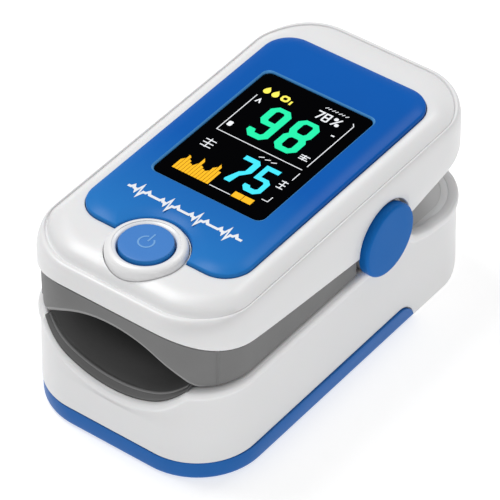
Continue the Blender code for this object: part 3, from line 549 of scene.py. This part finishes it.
def face_panel():
    """Blue face plate with its window opening, and a lighter blue ring round the opening
    as a painted highlight.
    """
    profile = [(0.0, 27.4), (0.0, 28.95)]
    profile += fillet((0.0, 28.9), (0.0, 29.2), (0.3, 29.28), 5)[1:]
    profile += fillet((0.3, 29.28), (1.35, 29.68), (2.3, PANEL_TOP), 9)[1:]
    rows = [[(x, y, height) for x, y in panel_outline(inset)]
            for inset, height in profile]
    panel = lofted("face_panel_cover", rows)
    cut = lofted("cut_window", [window_ring(9.3, 13.05, height)
                                for height in (27.0, 31.0)])
    cut_away(panel, cut)
    place_piece(panel, "blue", "upper_body", ["face_panel"], True, 30)
    # The bezel's lighter blue is a painted highlight round the opening.
    section = ((9.06, 29.2), (9.06, 29.5), (9.1, 29.58), (9.26, 29.71), (9.29, 29.71),
               (9.29, 29.2), (9.06, 29.2))
    bezel = lofted("window_bezel", [window_ring(half, half + 3.75, height)
                                    for half, height in section], False)
    place_piece(bezel, "bezel_painted_highlight_blue", "upper_body", (), True, 30)


def window_ring(half, reach, height):
    """Ring of points round the display window, at one height."""
    outline = plan(half, WINDOW_Y - reach, WINDOW_Y + reach, 1.2, (), 8, 2)
    return [(x, y, height) for x, y, nx, ny in outline]


def display_window():
    """Black glass, a little below the face plate."""
    rows = [window_ring(9.03, 12.78, 28.5), window_ring(9.03, 12.78, WINDOW_TOP - 0.04),
            window_ring(8.99, 12.74, WINDOW_TOP)]
    window = lofted("display_glass", rows)
    place_piece(window, "screen", "upper_body", ["display_window"], True)


# -------- display graphics

def strokes(name, shapes, look, low, thickness=0.02, body="upper_body"):
    """Flat plates in the panel's plane from outlines; a shape is [outline, hole, ...]."""
    work = bmesh.new()
    for shape in shapes:
        curve = bpy.data.curves.new(name, "CURVE")
        curve.dimensions = "2D"
        curve.fill_mode = "BOTH"
        curve.extrude = thickness / 2
        for outline in shape:
            spline = curve.splines.new("POLY")
            spline.points.add(len(outline) - 1)
            for point, (x, y) in zip(spline.points, outline):
                point.co = (x, y, 0.0, 1.0)
            spline.use_cyclic_u = True
        guide = linked(name, curve)
        bpy.context.view_layer.update()
        depsgraph = bpy.context.evaluated_depsgraph_get()
        mesh = bpy.data.meshes.new_from_object(guide.evaluated_get(depsgraph))
        mesh.transform(Matrix.Translation((0, 0, low + thickness / 2)))
        work.from_mesh(mesh)
        bpy.data.objects.remove(guide, do_unlink=True)
        bpy.data.curves.remove(curve)
        bpy.data.meshes.remove(mesh)
    place_piece(new_piece(name, work), look, body, (), True, 30)


def bar(x0, y0, x1, y1, width):
    """Outline of a straight stroke."""
    along = Vector((x1 - x0, y1 - y0)).normalized()
    side = Vector((-along.y, along.x)) * width / 2
    return [[(x0 - side.x, y0 - side.y), (x1 - side.x, y1 - side.y),
             (x1 + side.x, y1 + side.y), (x0 + side.x, y0 + side.y)]]


def ribbon(points, width):
    """Outline of a stroke along several points, mitred at its bends."""
    left = []
    right = []
    for index, point in enumerate(points):
        here = Vector(point)
        before = Vector(points[max(index - 1, 0)])
        after = Vector(points[min(index + 1, len(points) - 1)])
        one = (here - before).normalized() if index else (after - here).normalized()
        two = (after - here).normalized() if index < len(points) - 1 else one
        side = Vector((-(one.y + two.y), one.x + two.x)).normalized()
        reach = width / 2 / max(side.dot(Vector((-one.y, one.x))), 0.4)
        left.append(tuple(here + side * reach))
        right.append(tuple(here - side * reach))
    return [left + right[::-1]]


def cut_corners(x0, y0, x1, y1, cut):
    """Rectangle with cut corners, anticlockwise."""
    return [(x0 + cut, y0), (x1 - cut, y0), (x1, y0 + cut), (x1, y1 - cut),
            (x1 - cut, y1), (x0 + cut, y1), (x0, y1 - cut), (x0, y0 + cut)]


# Display graphics: X to the right and Y to the rear, in the level frame
GLYPH_Z = WINDOW_TOP + 0.005


def green_number():
    """Upper number: 98."""
    eight = [(1.45, 3.1), (3.35, 3.1), (4.28, 4.05), (4.28, 6.1), (3.85, 6.72),
             (4.24, 7.35), (4.24, 9.3), (3.4, 10.25), (1.5, 10.25), (0.66, 9.4),
             (0.66, 7.45), (1.05, 6.72), (0.6, 6.1), (0.6, 4.05)]
    upper_hole = [(1.95, 7.35), (1.68, 7.7), (1.68, 9.2), (1.95, 9.5), (2.95, 9.5),
                  (3.2, 9.2), (3.2, 7.7), (2.95, 7.35)]
    lower_hole = [(1.95, 4.05), (1.65, 4.4), (1.65, 5.9), (1.95, 6.25), (2.95, 6.25),
                  (3.22, 5.9), (3.22, 4.4), (2.95, 4.05)]
    nine = [(-3.1, 3.1), (-1.3, 3.1), (-0.42, 4.0), (-0.42, 9.3), (-1.25, 10.25),
            (-3.0, 10.25), (-3.86, 9.35), (-3.86, 7.0), (-3.2, 6.15), (-1.5, 6.15),
            (-1.5, 4.45), (-1.75, 4.1), (-2.7, 4.1), (-2.95, 4.75), (-3.95, 4.75),
            (-3.98, 4.05)]
    nine_hole = [(-2.6, 7.05), (-2.82, 7.35), (-2.82, 9.15), (-2.55, 9.45),
                 (-1.75, 9.45), (-1.5, 9.15), (-1.5, 7.05)]
    strokes("green_number", [[eight, upper_hole, lower_hole], [nine, nine_hole]],
            "green_lit", GLYPH_Z)


def cyan_number():
    """Lower number: 75."""
    seven = [(-0.55, -0.3), (-0.55, -1.15), (1.2, -1.15), (1.2, -3.0), (0.55, -3.55),
             (-0.2, -5.6), (-0.1, -5.95), (0.85, -5.95), (1.1, -4.2), (1.85, -3.3),
             (2.15, -2.9), (2.15, -0.9), (1.6, -0.3)]
    five = [(2.85, -0.35), (2.85, -3.4), (4.45, -3.4), (4.72, -3.7), (4.72, -5.0),
            (4.45, -5.25), (3.7, -5.25), (3.45, -4.9), (2.6, -4.9), (2.6, -5.45),
            (3.25, -6.15), (4.75, -6.15), (5.5, -5.4), (5.5, -3.3), (4.85, -2.7),
            (3.6, -2.7), (3.6, -1.15), (5.2, -1.15), (5.2, -0.35)]
    strokes("cyan_number", [[seven[::-1]], [five[::-1]]], "cyan_lit", GLYPH_Z)


def amber_bars():
    """A row of rising and falling pulse bars, and two blocks beside them."""
    heights = [1.9, 3.3, 2.6, 2.0, 1.7, 3.9, 2.5, 2.1, 1.8, 3.0, 4.2, 2.9]
    shapes = []
    left, base, pitch, gap = -7.1, -8.0, 0.5, 0.07
    for index, height in enumerate(heights):
        x0 = left + index * pitch
        x1 = x0 + pitch - gap
        following = heights[min(index + 1, len(heights) - 1)]
        shapes.append([[(x0, base), (x1, base),
                        (x1, base + 0.6 * height + 0.4 * following),
                        (x0, base + height)]])
    shapes.append([[(2.65, -8.05), (4.15, -8.05), (4.15, -6.95), (2.65, -6.95)]])
    shapes.append([[(4.25, -8.05), (5.78, -8.05), (5.78, -6.95), (4.25, -6.95)]])
    strokes("amber_bars", shapes, "amber_lit", GLYPH_Z)


def drop_outline(x, y, size, steps=20):
    """A drop with its tip up."""
    points = []
    for step in range(steps):
        angle = 2 * pi * step / steps - pi / 2
        squeeze = 1.0 if sin(angle) < 0 else 1.0 - 0.999 * sin(angle) ** 2
        points.append((x + size * 0.62 * cos(angle) * squeeze,
                       y + size * (0.62 * sin(angle) if sin(angle) < 0
                                   else 1.15 * sin(angle))))
    return points


def display_marks():
    """Generic marks in place of the display's labels: drops, waves, ticks and frames."""
    marks = [[drop_outline(-6.55, 12.0, 0.85)], [drop_outline(-5.15, 12.0, 0.85)],
             [cut_corners(-4.2, 11.5, -2.9, 12.75, 0.3),
              cut_corners(-3.85, 11.85, -3.25, 12.4, 0.12)[::-1]],
             [[(-2.6, 11.4), (-2.3, 11.4), (-2.3, 12.2), (-2.6, 12.2)]]]
    strokes("yellow_marks", marks, "yellow_lit", GLYPH_Z)
    line = 0.12
    lines = [ribbon([(-7.12, 10.6), (-7.12, 1.68), (7.05, 1.6)], line),
             ribbon([(6.85, 13.3), (7.25, 12.8), (7.2, 2.5)], line),
             bar(7.25, 0.85, 7.25, -0.85, line), bar(-0.9, -7.95, 2.5, -7.95, line),
             ribbon([(6.3, -6.2), (7.25, -6.2), (7.3, -5.1)], line)]
    thin = 0.24
    lines += [ribbon([(1.55, 12.9), (2.5, 12.9), (2.0, 11.35)], thin),
              ribbon([(2.9, 11.4), (2.9, 12.9), (3.7, 12.9), (3.7, 11.4)], thin),
              bar(2.9, 12.15, 3.7, 12.15, thin), bar(2.9, 11.4, 3.7, 11.4, thin),
              bar(4.4, 11.35, 5.4, 12.95, thin),
              [cut_corners(4.25, 12.35, 4.85, 12.95, 0.15)],
              [cut_corners(4.95, 11.35, 5.55, 11.95, 0.15)]]
    for index in range(7):
        x = 1.9 + 0.55 * index
        lines.append(bar(x, 13.75, x + (0.3 if index % 2 else 0.4), 14.1, 0.12))
    for index in range(3):
        high, low = 3.35 + 0.38 * index, 0.7 * index
        lines += [bar(5.1, high, 6.55 - 0.3 * (index % 2), high, 0.16),
                  bar(6.25, low - 3.1, 7.3, low - 3.1, 0.16),
                  bar(0.9 + index, 0.35, 1.6 + index, 0.7, 0.14),
                  bar(-7.0, low - 2.1, -5.3, low - 2.1, 0.16)]
    lines += [bar(5.75, 3.2, 5.75, 4.3, 0.14), bar(6.8, -3.2, 6.8, -1.5, 0.14),
              bar(-6.2, -2.3, -6.2, -0.3, 0.14),
              [cut_corners(-6.7, 3.1, -6.0, 4.1, 0.15)],
              ribbon([(-6.55, 9.3), (-6.2, 10.1), (-5.85, 9.3)], 0.2),
              bar(5.9, 9.6, 6.4, 9.6, 0.24)]
    strokes("white_marks", lines, "white_lit", GLYPH_Z + 0.025)


def face_print():
    """White pulse wave between the screen and the button, in place of lettering."""
    beat = [(0.0, 0.0), (0.5, 0.0), (0.75, 0.42), (1.0, 0.0), (1.3, 0.0), (1.5, -0.38),
            (1.85, 1.05), (2.2, -1.05), (2.5, 0.0), (2.9, 0.0), (3.2, 0.5), (3.55, 0.0)]
    left, right, baseline, pitch = -9.2, 9.4, -14.5, 4.75
    points = []
    for count in range(4):
        points += [(left + count * pitch + x, baseline + y) for x, y in beat]
    points.append((right, baseline))
    strokes("pulse_wave_print", [ribbon(points, 0.42)], "print", PANEL_TOP + 0.002)


# -------- button and caps

def button_group():
    """Raised white ring, and the blue button with its mark."""
    hole = BUTTON_RADIUS + 0.26
    profile = [(hole, 27.3), (hole, RING_TOP - 0.55)]
    profile += fillet((hole, RING_TOP - 0.5), (hole, RING_TOP - 0.28),
                      (hole + 0.35, RING_TOP - 0.16), 5)[1:]
    profile += [(hole + 0.7, RING_TOP - 0.03)]
    profile += fillet((RING_RADIUS - 1.0, RING_TOP), (RING_RADIUS - 0.05, RING_TOP - 0.1),
                      (RING_RADIUS, RING_TOP - 1.0), 9)
    profile += [(RING_RADIUS, 27.3), (hole, 27.3)]
    ring = slid(turned("button_surround", profile, 112, False), BUTTON_Y)
    place_piece(ring, "ring", "upper_body", ["button_ring"], True)
    top = RING_TOP + 0.2
    profile = [(4.3, 27.65), (4.3, 28.0), (BUTTON_RADIUS, 28.05)]
    profile += fillet((BUTTON_RADIUS, top - 0.2), (BUTTON_RADIUS, top),
                      (BUTTON_RADIUS - 0.2, top + 0.02), 5)
    profile += [(BUTTON_RADIUS * 0.7, top + 0.05), (BUTTON_RADIUS * 0.4, top + 0.06)]
    button = slid(turned("button_cap", profile), BUTTON_Y)
    place_piece(button, "button_painted_lit_top", "button_body", ["power_button"],
                True)
    # Painted light: the upward faces keep the lighter blue, and the steep sides take the
    # darker blue.
    second_look(button, "blue", lambda face: face.normal.z < 0.55)
    power_mark(top + 0.055)


def power_mark(height):
    """Raised on-off mark: an open circle and its stem."""
    circle = []
    for step in range(29):
        angle = radians(108 + 304 * step / 28)
        circle.append((1.06 * cos(angle), BUTTON_Y + 0.05 + 1.06 * sin(angle)))
    shapes = [ribbon(circle, 0.24), bar(0.1, BUTTON_Y + 0.25, 0.1, BUTTON_Y + 1.85, 0.24)]
    strokes("power_mark", shapes, "icon_blue", height, 0.04, "button_body")


def hinge_caps():
    """Blue discs over the ends of the axle."""
    inner = CAP_LOW.x
    outer = CAP_HIGH.x
    radius = CAP_HIGH.z - HINGE_Z
    profile = [(radius - 0.15, inner), (radius, inner + 0.12), (radius, outer - 0.55)]
    profile += fillet((radius, outer - 0.5), (radius, outer), (radius - 0.55, outer), 6)
    profile += [(radius * 0.6, outer), (radius * 0.3, outer)]
    for side, label in SIDES:
        cap = on_hinge(turned(f"hinge_button_{label}", profile, 112), side)
        place_piece(cap, "cap_blue", "lower_body", [f"hinge_cap_{label}"])


# -------- lower shell

LOWER_HALF = 16.7
LOWER_CORNER = 9.4
LOWER_WALL = 1.6
RIM_Z = 15.6
MOUTH_ARC = 15.4
MOUTH_BOTTOM = 10.1
TAIL_ROUND = 8.0      # radius of the round bottom of the tail
RIM_GROOVE = 1.85     # depth below the rim at which the wall is full again
SIDE_DRAFT = 0.16
COVER_END = 10.9      # Y at which the battery cover's end starts to curve down
# Rim behind the hinge: Y and height
TAIL_RIM = ((11.5, RIM_Z), (12.6, 16.2), (13.2, 15.4), (14.2, 14.5), (17.6, 13.3),
            (21.8, 12.8), (40, 12.8))


def rim_height(x, y):
    """Height of the lower shell's rim: the mouth's arc, the hinge and the tail."""
    height = RIM_Z
    if y < FRONT + 8.0 and abs(x) < MOUTH_ARC:
        height = min(height, MOUTH_BOTTOM + MOUTH_ARC - sqrt(MOUTH_ARC ** 2 - x * x))
    for (y0, z0), (y1, z1) in zip(TAIL_RIM, TAIL_RIM[1:]):
        if y0 < y <= y1:
            height = z0 + (z1 - z0) * (y - y0) / (y1 - y0)
    return height


def low_ring(outline, inset, height, rear, radius):
    """Ring of the wall, pulled in to the round bottom of the tail."""
    limit = rear
    if height < TAIL_ROUND:
        limit += sqrt(max(radius ** 2 - (TAIL_ROUND - height) ** 2, 0.0)) - radius
    return [(x - nx * inset, min(y - ny * inset, limit), height)
            for x, y, nx, ny in outline]


def yz_prism(name, outline, half=20.0):
    """Prism along X from an outline in the Y-Z plane."""
    return lofted(name, [[(x, y, z) for y, z in outline] for x in (-half, half)])


def lower_shell_rows(outline):
    """Rings up the inside of the wall, over the rim and down its outside."""
    rows = [low_ring(outline, LOWER_WALL, height, REAR - LOWER_WALL, 7.0)
            for height in (1.0, 1.3, 2.0, 3.0, 4.2, 5.5, 6.8, 8.0)]
    for inset, drop in ((LOWER_WALL, -0.4), (LOWER_WALL - 0.12, -0.12),
                        (LOWER_WALL - 0.4, 0.0), (0.62, 0.0), (0.36, -0.05),
                        (0.16, -0.17), (0.04, -0.36), (0.0, -0.62), (0.0, -0.95),
                        (0.04, -1.15), (0.14, -1.3), (0.25, -1.45), (0.3, -1.65),
                        (0.3, -RIM_GROOVE)):
        rows.append([(x - nx * inset, y - ny * inset,
                      rim_height(x - nx * inset, y) + drop) for x, y, nx, ny in outline])
    for share, inset in ((0.3, 0.26), (0.6, 0.2), (0.85, SIDE_DRAFT)):
        starts = [rim_height(x, y) - RIM_GROOVE for x, y, nx, ny in outline]
        rows.append(pulled_in(outline, [inset] * len(outline),
                              [start + (TAIL_ROUND - start) * share
                               for start in starts]))
    for step in range(13):
        height = TAIL_ROUND * (1 - sin(pi / 2 * step / 12))
        inset = SIDE_DRAFT * min(height / 6.0, 1.0)
        rows.append(low_ring(outline, inset, height, REAR, TAIL_ROUND))
    return rows


def lower_shell():
    """White lower shell, cut away underneath for the battery cover."""
    stations = [-21.4 + 1.1 * step for step in range(30)]
    stations += [10.9, 11.5, 12.0, 12.3, 12.6, 12.9, 13.2, 13.7, 14.2, 14.8, 15.6, 16.6,
                 17.6, 18.6, 19.6, 20.6, 21.4]
    outline = plan(LOWER_HALF, FRONT, REAR, LOWER_CORNER, stations, 28, 22)
    shell = lofted("lower_shell_cover", lower_shell_rows(outline))
    radius, top = 3.6, 3.05
    below = [(-34, top), (COVER_END, top)]
    below += [(COVER_END + radius * sin(angle), top - radius + radius * cos(angle))
              for angle in [radians(5 * step) for step in range(1, 20)]]
    below += [(COVER_END + radius, -4), (-34, -4)]
    cut_away(shell, yz_prism("cut_cover_room", below))
    place_piece(shell, "white", "lower_body", ["lower_shell"], False, 34)


def hinge_ears():
    """Short drums behind the discs, seen in the gap round them, coloured dark grey as
    painted shade in that gap.
    """
    profile = [(5.0, 13.9), (5.2, 14.1), (5.2, 15.7), (5.0, 15.9)]
    for side, label in SIDES:
        ear = on_hinge(turned(f"hinge_ear_{label}", profile, 80), side)
        place_piece(ear, "shade", "lower_body")


def cavity_liner():
    """Ledge round the open tail, covering the slit beside the battery holder."""
    around = [point for point in plan(LOWER_HALF, FRONT, REAR, LOWER_CORNER,
                                      [13.4, 15.0, 17.0, 19.0], 28, 22)
              if point[1] > 13.0]
    around.sort(key=lambda point: atan2(-point[0], point[1] - 10.0))
    section = ((1.5, 10.8), (1.5, 12.62), (1.7, 12.66), (2.35, 12.7), (2.5, 12.66),
               (2.5, 10.8))
    liner = lofted("cavity_liner", [[(x - nx * inset, y - ny * inset, height)
                                     for inset, height in section]
                                    for x, y, nx, ny in around])
    place_piece(liner, "white", "lower_body")


def finger_stops():
    """Two overlapping rubber webs that close the channel behind the fingertip."""
    half, thick, bow = 13.2, 0.8, 0.5
    for name, body, front, low, high in (
            ("finger_stop_lower", "lower_body", 1.6, 14.0, 19.6),
            ("finger_stop_upper", "upper_body", 3.0, 17.8, 21.2)):
        rows = []
        for step in range(13):
            x = half * (step / 6.0 - 1.0)
            y = front + bow * (1.0 - (x / half) ** 2)
            rows.append([(x, y, low), (x, y, high), (x, y + thick, high),
                         (x, y + thick, low)])
        place_piece(lofted(name, rows), "silicone", body)


def battery_cover():
    """Blue tray with a curved end, and the tongue that guides it in the shell."""
    low, high = (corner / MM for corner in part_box("battery_cover"))
    outline = plan(high.x, low.y, 17.0, 10.2, (), 20, 6, 2.0)
    top = high.z - 0.2
    radius = 3.4
    profile = [(0.55, 0.0), (0.3, 0.06), (0.12, 0.2), (0.02, 0.42), (0.0, 0.7),
               (0.0, top - 0.15), (0.05, top - 0.04), (0.16, top), (1.1, top),
               (1.2, top - 0.1), (1.2, 1.0)]
    cover = lofted("battery_cover_shell", rows_along(outline, profile))
    end = [(COVER_END + radius * sin(angle), top - radius + radius * cos(angle))
           for angle in [radians(5 * step) for step in range(18)]]
    end += [(COVER_END + radius, -2), (24, -2), (24, 6), (COVER_END, 6)]
    cut_away(cover, yz_prism("cut_cover_end", end[::-1]))
    place_piece(cover, "base_blue", "cover_body", ["battery_cover"], False,
                32)
    tongue = yz_prism("battery_cover_tongue", [(8.0, 1.2), (10.4, 1.2), (11.5, 1.95),
                                               (18.0, 1.95), (18.0, 2.6), (10.5, 2.6)],
                      2.0)
    place_piece(tongue, "base_blue", "cover_body")


# -------- silicone pads

PAD_HALF = 16.1
PAD_FRONT = FRONT + 0.7
PAD_CORNER = 8.9
PAD_REAR = 1.3
ARCH_TOP = 20.75
ARCH_RADIUS = 17.4
ARCH_END_Y = -22.0
CORNER_X = 11.8       # where the arch turns into the level edge
CORNER_Z = 16.12
LIP_ROLL = 0.85       # radius of the rolled lip along the mouth's arch
# Finger channel: y, half width, floor, roof and the height where its two halves meet
CHANNEL = ((-26.0, 10.6, 12.0, 20.45, 16.6), (-24.5, 10.4, 12.75, 20.4, 16.7),
           (-23.0, 10.1, 13.5, 20.4, 16.9), (-21.5, 9.9, 14.1, 20.4, 17.05),
           (-20.0, 9.7, 14.45, 20.4, 17.2), (-17.0, 9.6, 14.7, 20.4, 17.3),
           (-14.0, 9.5, 14.75, 20.4, 17.35), (-8.0, 9.3, 14.8, 20.4, 17.4),
           (PAD_REAR, 9.1, 14.8, 20.4, 17.4))
# Lower pad's lip, a sloping band and a rounded ridge: half width, height in the middle,
# height at the ends and depth behind the front of the shell
LIP = ((11.85, 10.3, 15.72, 0.56), (11.83, 10.4, 15.78, 0.48),
       (11.8, 10.55, 15.84, 0.54), (11.74, 10.75, 15.88, 0.72),
       (11.7, 10.92, 15.9, 0.88), (11.68, 11.08, 15.92, 1.0),
       (11.66, 11.2, 15.93, 1.15), (11.64, 11.24, 15.94, 1.32),
       (11.62, 11.2, 15.93, 1.5), (11.58, 11.08, 15.92, 1.68),
       (11.54, 10.98, 15.92, 1.9), (11.5, 10.95, 15.92, 2.3),
       (11.46, 11.0, 15.92, 2.9))


def nose(x, half, front, radius):
    """Y of a rounded plan's front at a given x."""
    over = abs(x) - (half - radius)
    if over <= 0:
        return front
    return front + radius - sqrt(max(radius ** 2 - over ** 2, 0.0))


def pad_nose(x):
    """Front of the upper pad at a given x."""
    return nose(x, PAD_HALF, PAD_FRONT, PAD_CORNER)


def shell_nose(x):
    """Front of the lower shell at a given x."""
    return nose(x, LOWER_HALF, FRONT, LOWER_CORNER)


def between(start, finish, share, front, depth):
    """Row of points between two X-Z curves, this deep behind a front."""
    return [(ax + (bx - ax) * share, front(ax) + depth, az + (bz - az) * share)
            for (ax, az), (bx, bz) in zip(start, finish)]


def bowed(half, middle, end, count=60):
    """Arc through (-half, end), (0, middle) and (half, end) in the X-Z plane."""
    rise = middle - end
    radius = (half ** 2 + rise ** 2) / (2 * abs(rise))
    sign = 1 if rise > 0 else -1
    centre = middle - sign * radius
    limit = asin(min(half / radius, 1.0))
    points = []
    for step in range(count + 1):
        angle = -limit + 2 * limit * step / count
        points.append((radius * sin(angle), centre + sign * radius * cos(angle)))
    return points


def half_ellipse(half, height, split, count=60):
    """Roof (positive height) or floor (negative) of the channel from left to right."""
    return [(-half * cos(pi * step / count), split + height * sin(pi * step / count))
            for step in range(count + 1)]


def skirt_columns():
    """Sections of the upper pad's skirt, a band with a rolled lower edge."""
    stations = [-20.0 + 1.5 * step for step in range(14)] + [PAD_REAR]
    outline = [point for point in plan(PAD_HALF, PAD_FRONT, REAR, PAD_CORNER, stations,
                                       30, 30) if point[1] <= PAD_REAR + 0.01]
    outline.sort(key=lambda point: atan2(point[0], -(point[1] + 10.0)))
    chamfer = 0.12
    section = [(2.0, "top", -0.5), (1.9, "top", 0.0), (chamfer, "top", 0.0),
               (0.0, "top", -chamfer), (0.0, "side", 0.33), (0.0, "side", 0.66)]
    section += [(LIP_ROLL * (1 - cos(angle)), "roll", 1 - sin(angle))
                for angle in [pi / 2 * step / 7 for step in range(8)]]
    section += [(2.0, "roll", 0.0)]
    columns = []
    for x, y, nx, ny in outline:
        foot = skirt_foot(x, y)
        roll = roll_size(x, y)
        column = []
        for inset, part, amount in section:
            at_y = y - ny * inset
            top = level_height(at_y, upper_edge(max(y, UPPER_FRONT)) - 0.28)
            height = {"top": top + amount,
                      "side": top - chamfer + (foot + roll - top + chamfer) * amount,
                      "roll": foot + roll * amount}[part]
            column.append((x - nx * inset, at_y, height))
        columns.append(column)
    return columns


def upper_pad():
    """Upper finger pad: the skirt, and a body with the channel's roof in it."""
    work = bmesh.new()
    skin(work, skirt_columns())
    arch = bowed(CORNER_X, ARCH_TOP, CORNER_Z)
    first = half_ellipse(10.9, 3.9, 16.55)
    rows = [between(arch, first, ease((depth - 1.4) / 6.0), pad_nose, depth)
            for depth in (1.4, 2.4, 3.4)]
    rows += [[(x, y, z) for x, z in half_ellipse(half, roof - split, split)]
             for y, half, floor, roof, split in CHANNEL]
    closed = []
    for row in rows:
        y0, y1 = row[-1][1], row[0][1]
        low, low_z, high, high_z = ((11.9, 16.75, 11.0, 22.6) if y0 < -27.5
                                    else (14.6, 16.1, 14.6, 22.3))
        closed.append(row + [(low, y0, low_z), (high, y0, high_z), (-high, y1, high_z),
                             (-low, y1, low_z)])
    skin(work, closed)
    pad = new_piece("upper_finger_pad", work)
    place_piece(pad, "silicone", "upper_body", ["upper_pad"], False, 38)
    # Painted highlight: the outer half of the rolled lip gets a lighter grey.
    second_look(pad, "silicone_lip_painted_highlight", on_rolled_lip)


def on_rolled_lip(face):
    """The outer half of the roll along the arch, which gets a lighter grey as a painted
    highlight.
    """
    x, y, z = face.center / MM
    above = z - skirt_foot(x, y)
    facing_out = y < pad_nose(x) + 0.5
    return y < -24.0 and abs(x) < 13.5 and facing_out and 0.05 < above < LIP_ROLL


def roll_size(x, y):
    """Radius of the skirt's lower edge: full along the mouth, small down the sides."""
    small = 0.25
    if y > ARCH_END_Y:
        return small
    return small + (LIP_ROLL - small) * ease((15.2 - abs(x)) / 4.4)


def level_height(y, height):
    """World height of a point that has this height in the level frame."""
    return (LEVEL_TO_WORLD @ Vector((0.0, y, height))).z


def skirt_foot(x, y):
    """Height of the skirt's lower edge: the mouth's arch, then just over the rim."""
    side = RIM_Z + 0.16
    if y > ARCH_END_Y:
        return side
    centre = ARCH_TOP - ARCH_RADIUS
    if abs(x) < CORNER_X:
        return centre + sqrt(ARCH_RADIUS ** 2 - x * x)
    share = ease((abs(x) - CORNER_X) / 0.9)
    return CORNER_Z + (side - CORNER_Z) * share


def lower_pad():
    """Lower pad: its lip, the channel's floor, and a bead along the lip, with painted
    shade in the channel and on the front band and a painted highlight on the bead.
    """
    work = bmesh.new()
    under = bowed(11.8, 10.2, 15.6)[::-1]
    skin(work, [[(x, shell_nose(x) + depth, z) for x, z in bowed(half, middle, end)]
                + [(x, shell_nose(x) + max(depth, 0.5), z - 0.02) for x, z in under]
                for half, middle, end, depth in LIP])
    start = bowed(11.46, 10.98, 15.92)
    first = half_ellipse(10.6, -4.3, 16.6)
    rows = [between(start, first, max((depth - 2.2) / 3.4, 0.0) ** 1.5, shell_nose, depth)
            for depth in (2.0, 2.6, 3.2, 3.8, 4.4)]
    rows += [[(x, y, min(z, RIM_Z - 0.35) if abs(x) > half - 0.4 else z)
              for x, z in half_ellipse(half, floor - split, split)]
             for y, half, floor, roof, split in CHANNEL]
    closed = []
    for row in rows:
        y0, y1 = row[-1][1], row[0][1]
        low = 8.8 if y0 < -23.6 else 13.0
        high = 15.2
        reach = 14.5
        if y0 < FRONT + LOWER_CORNER:
            behind = LOWER_CORNER - (y0 - FRONT)
            reach = min(reach, LOWER_HALF - LOWER_CORNER - 2.4
                        + sqrt(LOWER_CORNER ** 2 - behind ** 2))
        closed.append(row + [(reach, y0, high), (reach, y0, low), (-reach, y1, low),
                             (-reach, y1, high)])
    skin(work, closed)
    pad = new_piece("lower_finger_pad", work)
    # Painted shade: the channel's grey runs from a lighter grey at the mouth to near
    # black deeper in.
    place_piece(pad, "painted_shade_channel", "lower_body", ["lower_pad"], False,
                38)
    # Painted shade: the front band of the pad gets a darker grey.
    second_look(pad, "silicone_band_painted_shade", lambda face: face.center.y / MM
                < shell_nose(face.center.x / MM) + 1.2)
    # The bead takes a lighter grey as a painted highlight along the ridge's crest.
    round_bead = [(0.24 * cos(2 * pi * step / 12), 0.24 * sin(2 * pi * step / 12))
                  for step in range(12)]
    ridge = lofted("lower_pad_ridge", [[(x, shell_nose(x) + 1.34 + dy, z + dz)
                                        for dy, dz in round_bead]
                                       for x, z in bowed(11.5, 11.14, 15.82)])
    place_piece(ridge, "ridge", "lower_body")


# -------- carried-over nodes

CARRIED = {
    "battery_holder": "grey", "battery_1": "sleeve", "battery_2": "sleeve",
    "front_contact_plate": "steel", "rear_contact_bridge": "steel",
    "front_contact_spring": "steel", "rear_contact_spring": "steel",
    "sensor_board": "board", "photodetector": "resin", "sensor_window": "lens",
    "hinge_axle": "steel", "torsion_spring_left": "steel",
    "torsion_spring_right": "steel", "flex_cable": "film", "holder_screw_1": "steel",
    "holder_screw_2": "steel", "display_panel": "resin", "tact_switch": "resin",
    "main_board": "board", "processor_chip": "resin", "led_emitter": "resin",
    "emitter_window": "lens", "upper_frame": "grey", "frame_screw_1": "steel",
    "frame_screw_2": "steel", "frame_screw_3": "steel", "frame_screw_4": "steel",
}


def dress_carried():
    """Better materials for the CAD nodes that stay as they are."""
    for name, look in CARRIED.items():
        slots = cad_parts[name].material_slots
        for index in range(len(slots)):
            slots[index].material = LOOK[look]


# -------- stage

AIM = Vector((0.0, 0.0, 0.02))
FLOOR_RADIUS = 2500.0


def area_light(name, place, size, power):
    """Round soft light aimed at the middle of the object."""
    data = bpy.data.lights.new(name, "AREA")
    data.shape = "DISK"
    data.size = size
    data.energy = power
    light = linked(name, data)
    light.location = place
    light.rotation_euler = (AIM - Vector(place)).to_track_quat("-Z", "Y").to_euler()


def stage():
    """Pale floor and soft studio light."""
    work = bmesh.new()
    bmesh.ops.create_circle(work, cap_ends=True, segments=96, radius=FLOOR_RADIUS)
    floor = new_piece("floor", work)
    floor.data.transform(Matrix.Scale(MM, 4))
    floor.location.z = -0.0002
    material = bpy.data.materials.new("floor_look")
    material.use_nodes = True
    tree = material.node_tree
    for socket, value in (("Base Color", (0.5, 0.5, 0.5, 1.0)), ("Roughness", 0.9),
                          ("Emission Color", (1.0, 1.0, 1.0, 1.0)),
                          ("Emission Strength", 0.66)):
        feed(tree, tree.nodes["Principled BSDF"], socket, value)
    floor.data.materials.append(material)
    world = bpy.data.worlds.new("studio")
    world.use_nodes = True
    background = world.node_tree.nodes["Background"]
    background.inputs["Color"].default_value = (1.0, 1.0, 1.0, 1.0)
    background.inputs["Strength"].default_value = 0.36
    bpy.context.scene.world = world
    area_light("key", (-0.3, -0.02, 0.6), 0.3, 2.4)
    area_light("fill", (0.5, -0.35, 0.3), 0.4, 0.6)
    area_light("rim", (0.04, 0.40, 0.54), 0.2, 0.7)
    bpy.context.scene.view_settings.view_transform = "Standard"


# -------- assembly

upper_shell()
face_panel()
display_window()
green_number()
cyan_number()
amber_bars()
display_marks()
face_print()
button_group()
hinge_caps()
lower_shell()
hinge_ears()
cavity_liner()
finger_stops()
battery_cover()
upper_pad()
lower_pad()
dress_carried()
stage()

bpy.context.view_layer.update()
